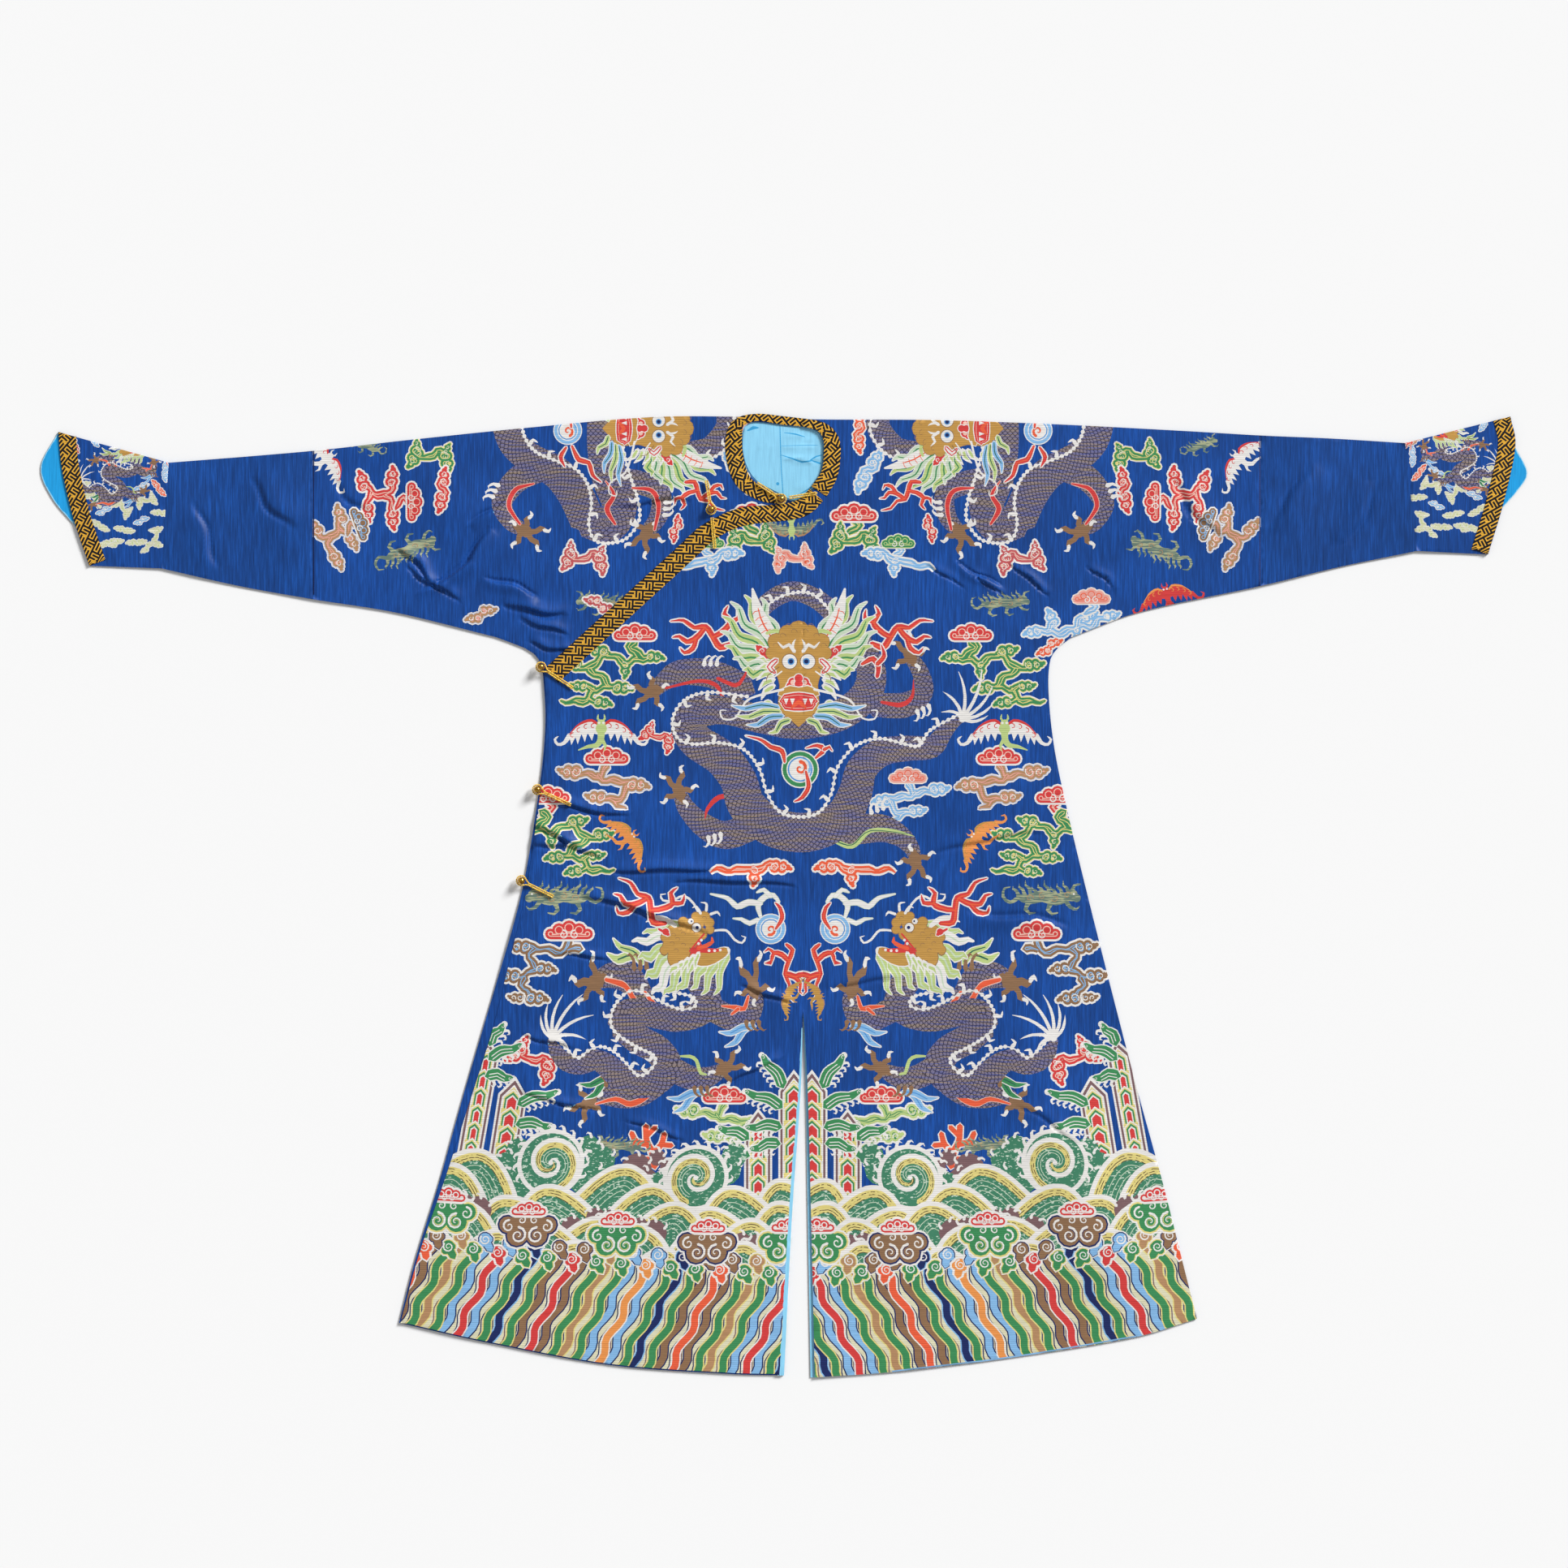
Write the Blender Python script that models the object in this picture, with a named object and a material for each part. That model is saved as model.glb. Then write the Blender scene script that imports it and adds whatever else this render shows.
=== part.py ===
"""Chinese dragon robe, laid flat on its back with the front up.

Plan: +X towards the wearer's left sleeve, +Y towards the neck, +Z up, origin under the middle of
the robe. Each half is one length of cloth folded at the shoulder and sewn under the arm, so it is a
flattened tube: a back on the floor, a narrow air gap and a front on top. The front overlap lies over
the wearer's right half and buttons at the neck, collarbone, armpit and side.
All sizes below are in millimetres.
"""

import math

import bmesh
import bpy
from mathutils import Vector
from mathutils.geometry import delaunay_2d_cdt

MM = 0.001

# Cloth, brocade and lining together
CLOTH = 1.5
GAP = 0.3
TRIM = 1.2
LINING = 1.0
FRONT_TOP = 2 * CLOTH + GAP
OVERLAP_RISE = CLOTH + GAP

# How far a cutter runs past an open edge, and how high it stands
PAST = 9.0
CUTTER_TOP = 20.0

# Seams
CENTRE_X = 27.0
VENT_TOP = -165.0
RIGHT_SLEEVE_SEAM = -673.0
LEFT_SLEEVE_SEAM = 681.0
RIGHT_CUFF_SEAM = ((-879.0, 618.0), (-889.0, 467.0))
LEFT_CUFF_SEAM = ((887.0, 646.0), (904.0, 492.0))

# Spacing of mesh points over a panel and along its edges
GRID = 62.0
EDGE_STEP = 45.0
ARMPIT_STEP = 12.0
# How far from the centre seam the left front sinks back to its own level
LIFT_REACH = 150.0

# Shoulder fold, wearer's right cuff to wearer's left cuff: x, y
SHOULDER = (
    (-879, 618),
    (-673, 635),
    (-541, 650),
    (-367, 668),
    (-193, 683),
    (-77, 684),
    (39, 680),
    (213, 679),
    (387, 673),
    (561, 664),
    (681, 657),
    (793, 652),
    (887, 646),
)
# Lower edge of each sleeve, cuff to armpit: x, y
RIGHT_UNDERARM = ((-889, 467), (-779, 442), (-673, 423), (-555, 404), (-412, 369))
LEFT_UNDERARM = ((904, 492), (793, 469), (681, 442), (506, 404), (411, 369))
# Side of the skirt, armpit to hem: y, x
RIGHT_SIDE = (
    (369, -412),
    (351, -366),
    (334, -349),
    (299, -343),
    (240, -341),
    (150, -350),
    (3, -375),
    (-136, -414),
    (-275, -455),
    (-414, -494),
    (-518, -526),
    (-611, -550),
)
LEFT_SIDE = (
    (369, 411),
    (351, 389),
    (334, 380),
    (290, 378),
    (212, 386),
    (120, 405),
    (3, 433),
    (-136, 468),
    (-275, 504),
    (-414, 542),
    (-518, 568),
    (-605, 590),
)
# Hems, side to centre: x, y
RIGHT_HEM = ((-550, -611), (-425, -639), (-251, -671), (-77, -684), (0, -686))
LEFT_HEM = ((590, -605), (503, -631), (329, -660), (155, -681), (38, -689))
# Edges of the centre vent, top to hem: y, x
RIGHT_VENT = ((-165, 27), (-275, 24), (-449, 12), (-686, 0))
LEFT_VENT = ((-165, 27), (-275, 31), (-449, 34), (-689, 38))
# The neck opening in the front
NECK_HOLE = (
    (-50, 675),
    (-61, 648),
    (-56, 615),
    (-40, 591),
    (-12, 575),
    (12, 563),
    (27, 566),
    (45, 583),
    (56, 615),
    (57, 645),
    (46, 666),
    (8, 671),
)
# Centre line of the neck band from the button round the back: x, y, half width
NECK_BAND = (
    (-8, 565, 6),
    (-30, 572, 9),
    (-55, 588, 11),
    (-67, 611, 12),
    (-72, 640, 12),
    (-70, 663, 11),
    (-62, 677, 7),
    (-37, 683, 5),
    (-6, 679, 6),
    (35, 674, 6),
    (56, 667, 8),
    (67, 652, 11),
    (69, 633, 12),
    (65, 602, 12),
    (50, 577, 13),
)
# Centre line of the overlap band from the neck to the armpit: x, y, half width
OVERLAP_BAND = (
    (46, 572, 13),
    (30, 556, 13),
    (6, 548, 12),
    (-26, 545, 12),
    (-54, 542, 13),
    (-77, 535, 13),
    (-97, 525, 13),
    (-115, 513, 14),
    (-147, 483, 14),
    (-240, 398, 14),
    (-332, 314, 14),
)
# How far the overlap's side edge lies inside the back's: y, inset
OVERLAP_INSET = ((300, 2), (100, 3), (-60, 8), (-200, 14), (-340, 10), (-480, 4), (-611, 2))
# Main folds, as soft ridges: x and y of each end, half width, height
RIGHT_FOLDS = (
    (-384, 420, -300, 372, 13, 4.5),
    (-545, 530, -470, 468, 16, 3.5),
    (-234, 551, -135, 562, 9, 2.5),
    (-400, 480, -330, 400, 14, 3.0),
)
LEFT_FOLDS = (
    (248, 480, 330, 428, 14, 3.0),
    (330, 480, 395, 400, 12, 2.5),
)
OVERLAP_FOLDS = (
    (-350, 0, -190, 52, 11, 3.0),
    (-300, -28, -70, 8, 12, 3.0),
    (-330, 130, -200, 108, 9, 2.0),
    (-90, -150, 10, -172, 10, 2.0),
)
# Cuffs: the front stops at the outer edge of its band, the back reaches past it
RIGHT_CUFF_EDGE = ((-1037, 662), (-1032, 610), (-1016, 540), (-993, 471))
LEFT_CUFF_EDGE = ((1038, 684), (1045, 640), (1028, 560), (1006, 487))
RIGHT_CUFF_LINING = ((-1037, 662), (-1062, 612), (-1046, 568), (-1014, 529))
LEFT_CUFF_LINING = ((1045, 640), (1062, 604), (1048, 578), (1026, 553))
CUFF_BAND = 25.0
VENT_LINING = 6.0

# Closures: ball, then the far end of the loop strap and of the button strap
BALL_RADIUS = 5.4
CORD = 2.6
CLOSURES = {
    "neck": ((-4, 566), (-39, 589), (45, 574)),
    "collarbone": ((-104, 551), (-111, 593), (-99, 497)),
    "armpit": ((-347, 326), (-301, 296), None),
    "side_upper": ((-352, 151), (-304, 129), None),
    "side_lower": ((-375, 21), (-329, -2), None),
}

COLOURS = {
    "blue_brocade": (0.012, 0.058, 0.26, 0.55, 0.0),
    "blue_silk": (0.010, 0.055, 0.25, 0.5, 0.0),
    "fret_trim": (0.30, 0.17, 0.03, 0.6, 0.0),
    "sky_lining": (0.34, 0.72, 0.90, 0.6, 0.0),
    "gold_cord": (0.62, 0.40, 0.06, 0.6, 0.0),
    "brass": (0.78, 0.55, 0.22, 0.25, 1.0),
}


def clear_scene():
    for obj in list(bpy.data.objects):
        bpy.data.objects.remove(obj, do_unlink=True)


def make_material(name):
    red, green, blue, roughness, metallic = COLOURS[name]
    material = bpy.data.materials.new(name)
    material.use_nodes = True
    shader = material.node_tree.nodes["Principled BSDF"]
    shader.inputs["Base Color"].default_value = (red, green, blue, 1.0)
    shader.inputs["Roughness"].default_value = roughness
    shader.inputs["Metallic"].default_value = metallic
    return material


def add_object(name, mesh, material):
    obj = bpy.data.objects.new(name, mesh)
    bpy.context.scene.collection.objects.link(obj)
    if material:
        mesh.materials.append(bpy.data.materials.get(material) or make_material(material))
    return obj


def interpolate(table, t):
    """Smooth value at t of a table of (t, value) rows in rising or falling order."""
    rows = sorted(table)
    if t <= rows[0][0]:
        return rows[0][1]
    if t >= rows[-1][0]:
        return rows[-1][1]
    i = max(k for k in range(len(rows) - 1) if rows[k][0] <= t)
    slopes = []
    for k in (i, i + 1):
        low, high = rows[max(k - 1, 0)], rows[min(k + 1, len(rows) - 1)]
        slopes.append((high[1] - low[1]) / (high[0] - low[0]))
    span = rows[i + 1][0] - rows[i][0]
    s = (t - rows[i][0]) / span
    return (
        (2 * s**3 - 3 * s**2 + 1) * rows[i][1]
        + (s**3 - 2 * s**2 + s) * span * slopes[0]
        + (3 * s**2 - 2 * s**3) * rows[i + 1][1]
        + (s**3 - s**2) * span * slopes[1]
    )


def spread(start, end, step):
    count = max(1, round(abs(end - start) / step))
    return [start + (end - start) * k / count for k in range(count + 1)]


def smooth_path(points, step, closed=False):
    """A Catmull-Rom curve through the points, about one step apart. Extra columns run along."""
    points = [Vector(p) for p in points]
    count = len(points)
    path = []
    for i in range(count if closed else count - 1):
        if closed:
            a, b, c, d = (points[(i + k) % count] for k in (-1, 0, 1, 2))
        else:
            b, c = points[i], points[i + 1]
            a = points[i - 1] if i else b - (c - b)
            d = points[i + 2] if i + 2 < count else c + (c - b)
        parts = max(1, round((c - b).length / step))
        for k in range(parts):
            s = k / parts
            path.append(
                0.5 * (2 * b + (c - a) * s + (2 * a - 5 * b + 4 * c - d) * s**2
                       + (3 * b - a - 3 * c + d) * s**3)
            )
    if not closed:
        path.append(points[-1])
    return path


def dedupe(outline, least=1.0):
    kept = []
    for p in outline:
        p = Vector((p[0], p[1]))
        if not kept or (p - kept[-1]).length > least:
            kept.append(p)
    if (kept[0] - kept[-1]).length <= least:
        kept.pop()
    return kept


def signed_area(outline):
    return 0.5 * sum(
        a.x * b.y - b.x * a.y for a, b in zip(outline, outline[1:] + outline[:1])
    )


def inside(outline, x, y):
    hit = False
    for a, b in zip(outline, outline[1:] + outline[:1]):
        if (a.y > y) != (b.y > y) and x < a.x + (y - a.y) * (b.x - a.x) / (b.y - a.y):
            hit = not hit
    return hit


def edge_distance(outline, x, y):
    p = Vector((x, y))
    best = 1e9
    for a, b in zip(outline, outline[1:] + outline[:1]):
        along = b - a
        t = min(1.0, max(0.0, (p - a).dot(along) / along.length_squared))
        best = min(best, (p - a - along * t).length)
    return best


def fold_height(folds, x, y):
    """Height that the folds add at a point."""
    total = 0.0
    for x0, y0, x1, y1, half, height in folds:
        start, along = Vector((x0, y0)), Vector((x1 - x0, y1 - y0))
        offset = Vector((x, y)) - start
        t = offset.dot(along) / along.length_squared
        away = abs(offset.cross(along)) / along.length
        if 0 < t < 1 and away < half:
            total += height * math.sin(math.pi * t) ** 0.7 * (1 - (away / half) ** 2) ** 1.5
    return total


def fold_points(folds):
    """Mesh points on the crest, the shoulders and the feet of each fold."""
    points = []
    for x0, y0, x1, y1, half, _ in folds:
        along = Vector((x1 - x0, y1 - y0))
        across = Vector((-along.y, along.x)).normalized() * half
        count = max(4, round(along.length / 16))
        for k in range(count + 1):
            spot = Vector((x0, y0)) + along * k / count
            reach = (-1.0, -0.5, 0.0, 0.5, 1.0) if 0 < k < count else (0.0,)
            points += [spot + across * r for r in reach]
    return points


def slab(name, outline, low, high, material, folds=(), grid=GRID):
    """A closed sheet over an outline, its faces at heights low and high: numbers or functions."""
    outline = dedupe(outline)
    if signed_area(outline) < 0:
        outline.reverse()
    curved = callable(high)
    high_at = high if curved else (lambda x, y: high)
    low_at = low if callable(low) else (lambda x, y: low)
    spots = list(outline)
    if curved:
        xs, ys = [p.x for p in outline], [p.y for p in outline]
        wanted = fold_points(folds)
        for row in range(int((max(ys) - min(ys)) / grid) + 1):
            for col in range(int((max(xs) - min(xs)) / grid) + 1):
                x = min(xs) + (col + 0.5 * (row % 2)) * grid
                y = min(ys) + (row + 0.5) * grid
                if all((Vector((x, y)) - w).length > 0.4 * grid for w in wanted):
                    wanted.append(Vector((x, y)))
        spots += [w for w in wanted
                  if inside(outline, w.x, w.y) and edge_distance(outline, w.x, w.y) > 7]
    rim = len(outline)
    points, _, faces, _, _, _ = delaunay_2d_cdt(spots, [], [list(range(rim))], 0, 1e-4, False)
    centres = [sum((points[i] for i in face), Vector((0, 0))) / 3 for face in faces]
    faces = [face for face, c in zip(faces, centres) if inside(outline, c.x, c.y)]
    bm = bmesh.new()
    top = [bm.verts.new((p.x, p.y, high_at(p.x, p.y))) for p in points]
    for face in faces:
        bm.faces.new([top[i] for i in face])
    if callable(low):
        base = [bm.verts.new((p.x, p.y, low_at(p.x, p.y))) for p in points]
        for face in faces:
            bm.faces.new([base[i] for i in reversed(face)])
    else:
        base = {i: bm.verts.new((points[i].x, points[i].y, low)) for i in range(rim)}
        bm.faces.new([base[i] for i in reversed(range(rim))])
    for i in range(rim):
        j = (i + 1) % rim
        bm.faces.new((top[i], base[i], base[j], top[j]))
    bmesh.ops.recalc_face_normals(bm, faces=bm.faces)
    bmesh.ops.scale(bm, vec=(MM, MM, MM), verts=bm.verts)
    mesh = bpy.data.meshes.new(name)
    bm.to_mesh(mesh)
    bm.free()
    return add_object(name, mesh, material)


def cut(obj, cutter):
    cutter.hide_render = True
    cutter.display_type = "WIRE"
    modifier = obj.modifiers.new("cut " + cutter.name, "BOOLEAN")
    modifier.operation = "DIFFERENCE"
    modifier.solver = "EXACT"
    modifier.object = cutter


# Surface heights


def right_front(x, y):
    """Top of the wearer's right front, which the overlap lies on."""
    return FRONT_TOP + fold_height(RIGHT_FOLDS, x, y)


def left_front(x, y):
    """Top of the wearer's left front: it meets the overlap at the centre seam and sinks beside it."""
    s = min(1.0, max(0.0, (x - CENTRE_X) / LIFT_REACH))
    lift = OVERLAP_RISE * (1 - s * s * (3 - 2 * s))
    return FRONT_TOP + lift + fold_height(LEFT_FOLDS, x, y)


def overlap_base(x, y):
    return FRONT_TOP + GAP + fold_height(OVERLAP_FOLDS, x, y)


def overlap_top(x, y):
    return overlap_base(x, y) + CLOTH


# Outlines


def inner(path, amount):
    """The path moved to its left side by amount, for walls that stay sewn."""
    moved = []
    for i, p in enumerate(path):
        ahead = path[min(i + 1, len(path) - 1)] - path[max(i - 1, 0)]
        moved.append(p + Vector((-ahead.y, ahead.x)).normalized() * amount)
    return moved


def half_edges(side):
    """Edges of one half of the robe: shoulder, sleeve end, underarm and side, hem, vent."""
    if side == "right":
        seam, under, flank, hem, vent = (
            RIGHT_SLEEVE_SEAM, RIGHT_UNDERARM, RIGHT_SIDE, RIGHT_HEM, RIGHT_VENT)
    else:
        seam, under, flank, hem, vent = (
            LEFT_SLEEVE_SEAM, LEFT_UNDERARM, LEFT_SIDE, LEFT_HEM, LEFT_VENT)
    clear = GAP / 2 if side == "left" else -GAP / 2
    centre = CENTRE_X + clear
    shoulder = [Vector((x, interpolate(SHOULDER, x))) for x in spread(centre, seam - clear, EDGE_STEP)]
    below = [Vector((x, interpolate(under, x))) for x in spread(seam - clear, under[-1][0], EDGE_STEP)]
    armpit = [Vector((interpolate(flank, y), y)) for y in spread(flank[0][0], flank[3][0], ARMPIT_STEP)]
    down = [Vector((interpolate(flank, y), y)) for y in spread(flank[3][0], flank[-1][0], EDGE_STEP)]
    bottom = [Vector((x, interpolate(hem, x))) for x in spread(hem[0][0], hem[-1][0], EDGE_STEP)]
    slit = [Vector((interpolate(vent, y) + clear, y)) for y in spread(vent[-1][0], vent[0][0], 60)]
    return shoulder, below + armpit[1:] + down[1:], bottom, slit


def make_half(side):
    """One length of cloth, folded at the shoulder and sewn from sleeve end to hem."""
    shoulder, flank, bottom, slit = half_edges(side)
    top = right_front if side == "right" else left_front
    folds = RIGHT_FOLDS if side == "right" else LEFT_FOLDS
    inward = 1 if side == "right" else -1
    below = Vector((0, PAST))
    body = slab("body_" + side, shoulder + flank + bottom + slit, 0.0, top, "blue_brocade", folds)
    wall = inner(shoulder, CLOTH * inward)
    wall[0].x += PAST * inward
    wall[-1].x -= PAST * inward
    seam_wall = inner(flank, CLOTH * inward)
    seam_wall[0].x -= PAST * inward
    seam_wall[-1] -= below
    low_hem = [p - below for p in bottom[1:]]
    beyond = [p + Vector((PAST * inward, 0)) for p in slit]
    beyond[0] -= below
    hollow = slab(
        "hollow_" + side,
        wall + seam_wall + low_hem + beyond,
        CLOTH,
        lambda x, y: top(x, y) - CLOTH,
        None,
        folds,
    )
    cut(body, hollow)
    neck = slab("neck_cutter_" + side, smooth_path(NECK_HOLE, 12, closed=True),
                CLOTH + GAP / 2, CUTTER_TOP, None)
    cut(body, neck)
    if side == "left":
        edge = [p + Vector((vent_margin(p.y), 0)) for p in slit]
        beside = Vector((PAST, 0))
        shelf = [edge[0] - below] + edge
        shelf += [slit[-1] - beside, slit[0] - beside - below]
        cut(body, slab("vent_cutter_left", shelf, CLOTH + GAP / 2, CUTTER_TOP, None))
        vent_lining("lining_vent_left", slit, edge, CLOTH + GAP)


def vent_margin(y):
    """Width of lining that shows beside the centre vent at height y, growing towards the hem."""
    depth = (VENT_TOP - y) / (VENT_TOP - RIGHT_VENT[-1][0])
    return VENT_LINING * math.sqrt(min(1.0, max(0.0, depth)))


def vent_lining(name, outer, inner_edge, low):
    """The strip of lining between a front's vent edge and the edge of the layer below it."""
    count = len(outer) - 2
    clear = Vector((GAP if inner_edge[0].x > outer[0].x else -GAP, 0))
    strip = [p + clear for p in outer[:count]] + [p - clear for p in inner_edge[:count]][::-1]
    slab(name, strip, low, low + LINING, "sky_lining")


def make_overlap():
    """The front panel that crosses to the wearer's right, from the centre seam to the side."""
    _, _, bottom, slit = half_edges("right")
    centre = CENTRE_X - GAP / 2
    upper = []
    band = smooth_path(OVERLAP_BAND[1:], 20)
    for p, ahead in zip(band, band[1:]):
        along = Vector((ahead.x - p.x, ahead.y - p.y)).normalized()
        edge = Vector((p.x + along.y * p.z, p.y - along.x * p.z))
        if interpolate(RIGHT_SIDE, edge.y) + 4 < edge.x < centre - 4:
            upper.append(edge)
    side = []
    for y in spread(upper[-1].y - 4, RIGHT_SIDE[-1][0], EDGE_STEP):
        side.append(Vector((interpolate(RIGHT_SIDE, y) + interpolate(OVERLAP_INSET, y), y)))
    hem = [p + Vector((0, 3)) for p in bottom if side[-1].x + 10 < p.x < bottom[-1].x - 10]
    vent = [p - Vector((vent_margin(p.y), 0)) for p in slit]
    vent_lining("lining_vent_right", slit, vent, FRONT_TOP + GAP)
    vent[0].y += 3
    slab("overlap_front", [Vector((centre, 561.0))] + upper + side + hem + vent,
         overlap_base, overlap_top, "blue_brocade", OVERLAP_FOLDS)


def tube(name, top_edge, low_edge, material):
    """A sleeve pressed flat: sewn along its two long edges, top and low, and open at both ends."""
    obj = slab(name, top_edge + low_edge[::-1], 0.0, FRONT_TOP, material)
    turn = -CLOTH if top_edge[-1].x > top_edge[0].x else CLOTH
    wall_top, wall_low = inner(top_edge, turn), inner(low_edge, -turn)
    past = (top_edge[0] - top_edge[-1]).normalized() * 6 * PAST
    hollow = [wall_top[0] + past] + wall_top + [wall_top[-1] - past]
    hollow += [wall_low[-1] - past] + wall_low[::-1] + [wall_low[0] + past]
    cut(obj, slab(name + "_hollow", hollow, CLOTH, CLOTH + GAP, None))


def sleeve(side):
    """Plain silk length between the brocade sleeve and the cuff."""
    if side == "right":
        seam, under, cuff, sign = RIGHT_SLEEVE_SEAM, RIGHT_UNDERARM, RIGHT_CUFF_SEAM, 1
    else:
        seam, under, cuff, sign = LEFT_SLEEVE_SEAM, LEFT_UNDERARM, LEFT_CUFF_SEAM, -1
    clear = sign * GAP / 2
    top = [Vector((x, interpolate(SHOULDER, x)))
           for x in spread(cuff[0][0] + clear, seam - clear, EDGE_STEP)]
    low = [Vector((x, interpolate(under, x)))
           for x in spread(cuff[1][0] + clear, seam - clear, EDGE_STEP)]
    tube("sleeve_" + side, top, low, "blue_silk")


def cuff(side):
    """Horse-hoof cuff: front and back pressed flat, its band laid along the front's outer edge."""
    if side == "right":
        seam, edge, lining, sign = RIGHT_CUFF_SEAM, RIGHT_CUFF_EDGE, RIGHT_CUFF_LINING, -1
    else:
        seam, edge, lining, sign = LEFT_CUFF_SEAM, LEFT_CUFF_EDGE, LEFT_CUFF_LINING, 1
    clear = Vector((sign * GAP / 2, 0))
    top = [Vector(seam[0]) + clear, Vector(edge[0])]
    low = [Vector(seam[1]) + clear, Vector(edge[-1])]
    mouth = smooth_path(edge, 22)
    back_mouth = smooth_path(lining, 22)
    first = min(range(len(mouth)), key=lambda k: (mouth[k] - back_mouth[0]).length)
    last = min(range(len(mouth)), key=lambda k: (mouth[k] - back_mouth[-1]).length)
    hoof = mouth[:first] + back_mouth + mouth[last + 1:]
    outline = [top[0]] + hoof + [low[0]]
    body = slab("cuff_" + side, outline, 0.0, FRONT_TOP, "blue_brocade")
    inset = Vector((0, -CLOTH))
    past = Vector((sign * PAST, 0))
    hollow = [top[0] + inset - past, top[1] + inset + 6 * past]
    hollow += [low[1] - inset + 6 * past, low[0] - inset - past]
    cut(body, slab("cuff_hollow_" + side, hollow, CLOTH, CLOTH + GAP, None))
    over = Vector((0, 2 * PAST))
    beyond = [p + 6 * past for p in reversed(mouth)]
    beyond[0] -= over
    beyond[-1] += over
    shelf = [mouth[0] + over] + mouth + [mouth[-1] - over] + beyond
    cut(body, slab("cuff_shelf_" + side, shelf, CLOTH + GAP / 2, CUTTER_TOP, None))

    # The band's upper end follows the top edge of the cuff
    inner_rim = inner(mouth, -CUFF_BAND * sign)
    reach = (inner_rim[0].x - top[1].x) / (top[0].x - top[1].x)
    inner_rim[0].y = top[1].y + reach * (top[0].y - top[1].y)
    strip = inner(mouth, -0.5 * sign) + inner_rim[::-1]
    slab("cuff_trim_" + side, strip, FRONT_TOP + GAP, FRONT_TOP + GAP + TRIM, "fret_trim")

    edge_in = inner(mouth[first:last + 1], GAP * sign)
    tongue = inner(back_mouth, -1.0 * sign)[1:-1]
    slab("lining_cuff_" + side, edge_in + tongue[::-1], CLOTH + GAP, CLOTH + GAP + LINING, "sky_lining")


def ribbon(name, rows, height_at, material):
    """A band of TRIM thickness laid on a surface, along rows of x, y, half width."""
    path = smooth_path(rows, 9)
    left, right = [], []
    for i, p in enumerate(path):
        ahead = path[min(i + 1, len(path) - 1)] - path[max(i - 1, 0)]
        across = Vector((-ahead.y, ahead.x)).normalized() * p.z
        left.append(Vector((p.x, p.y)) + across)
        right.append(Vector((p.x, p.y)) - across)
    bm = bmesh.new()
    rings = []
    for a, b in zip(left, right):
        ring = []
        for point, lift in ((a, 0), (b, 0), (b, TRIM), (a, TRIM)):
            ring.append(bm.verts.new((point.x, point.y, height_at(point.x, point.y) + GAP + lift)))
        rings.append(ring)
    for ring, after in zip(rings, rings[1:]):
        for k in range(4):
            m = (k + 1) % 4
            bm.faces.new((ring[k], ring[m], after[m], after[k]))
    bm.faces.new(rings[0][::-1])
    bm.faces.new(rings[-1])
    bmesh.ops.recalc_face_normals(bm, faces=bm.faces)
    bmesh.ops.scale(bm, vec=(MM, MM, MM), verts=bm.verts)
    mesh = bpy.data.meshes.new(name)
    bm.to_mesh(mesh)
    bm.free()
    return add_object(name, mesh, material)


def neck_height(x, y):
    """What the neck band lies on."""
    return left_front(x, y) if x > CENTRE_X else FRONT_TOP


def band_height(x, y):
    """What the overlap's band lies on."""
    return left_front(x, y) if x > CENTRE_X else overlap_top(x, y)


def neck_lining():
    """The lining of the back that shows through the neck opening."""
    hole = smooth_path(NECK_HOLE, 12, closed=True)
    slab("lining_neck", inner(hole, 1.0), CLOTH + GAP, CLOTH + GAP + LINING, "sky_lining")


def cord(name, points):
    """A round cord through the points, with closed ends."""
    curve = bpy.data.curves.new(name, "CURVE")
    curve.dimensions = "3D"
    curve.bevel_depth = CORD / 2 * MM
    curve.bevel_resolution = 2
    curve.use_fill_caps = True
    spline = curve.splines.new("POLY")
    path = smooth_path(points, 4.5)
    spline.points.add(len(path) - 1)
    for slot, p in zip(spline.points, path):
        slot.co = (p.x * MM, p.y * MM, p.z * MM, 1.0)
    curve.materials.append(bpy.data.materials.get("gold_cord") or make_material("gold_cord"))
    obj = bpy.data.objects.new(name, curve)
    bpy.context.scene.collection.objects.link(obj)
    return obj


def ball(name, centre):
    """A plain ball button, as a turned sphere."""
    bm = bmesh.new()
    bmesh.ops.create_uvsphere(bm, u_segments=16, v_segments=10, radius=BALL_RADIUS * MM)
    mesh = bpy.data.meshes.new(name)
    bm.to_mesh(mesh)
    bm.free()
    mesh.shade_smooth()
    obj = add_object(name, mesh, "brass")
    obj.location = Vector(centre) * MM
    return obj


def hairpin(ball_at, end, level, around):
    """A doubled cord from its far end, round the ball if around is set, and back beside itself."""
    hub, tip = Vector((ball_at[0], ball_at[1])), Vector(end)
    along = (hub - tip).normalized()
    across = Vector((-along.y, along.x))
    pair = (CORD + GAP) / 2
    reach = BALL_RADIUS + CORD / 2 + 0.5
    points = []
    length = (hub - tip).length
    for k in range(4):
        points.append(tip + along * (length - reach - 5) * k / 3 + across * pair)
    if around:
        for angle in (140, 100, 60, 20, -20, -60, -100, -140):
            a = math.radians(angle)
            points.append(hub + (along * math.cos(a) + across * math.sin(a)) * reach)
    else:
        points.append(hub - along * (reach + 1) + across * pair * 0.9)
        points.append(hub - along * (reach + 1) - across * pair * 0.9)
    for k in range(4):
        points.append(tip + along * (length - reach - 5) * (3 - k) / 3 - across * pair)
    return [Vector((p.x, p.y, level)) for p in points]


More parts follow.
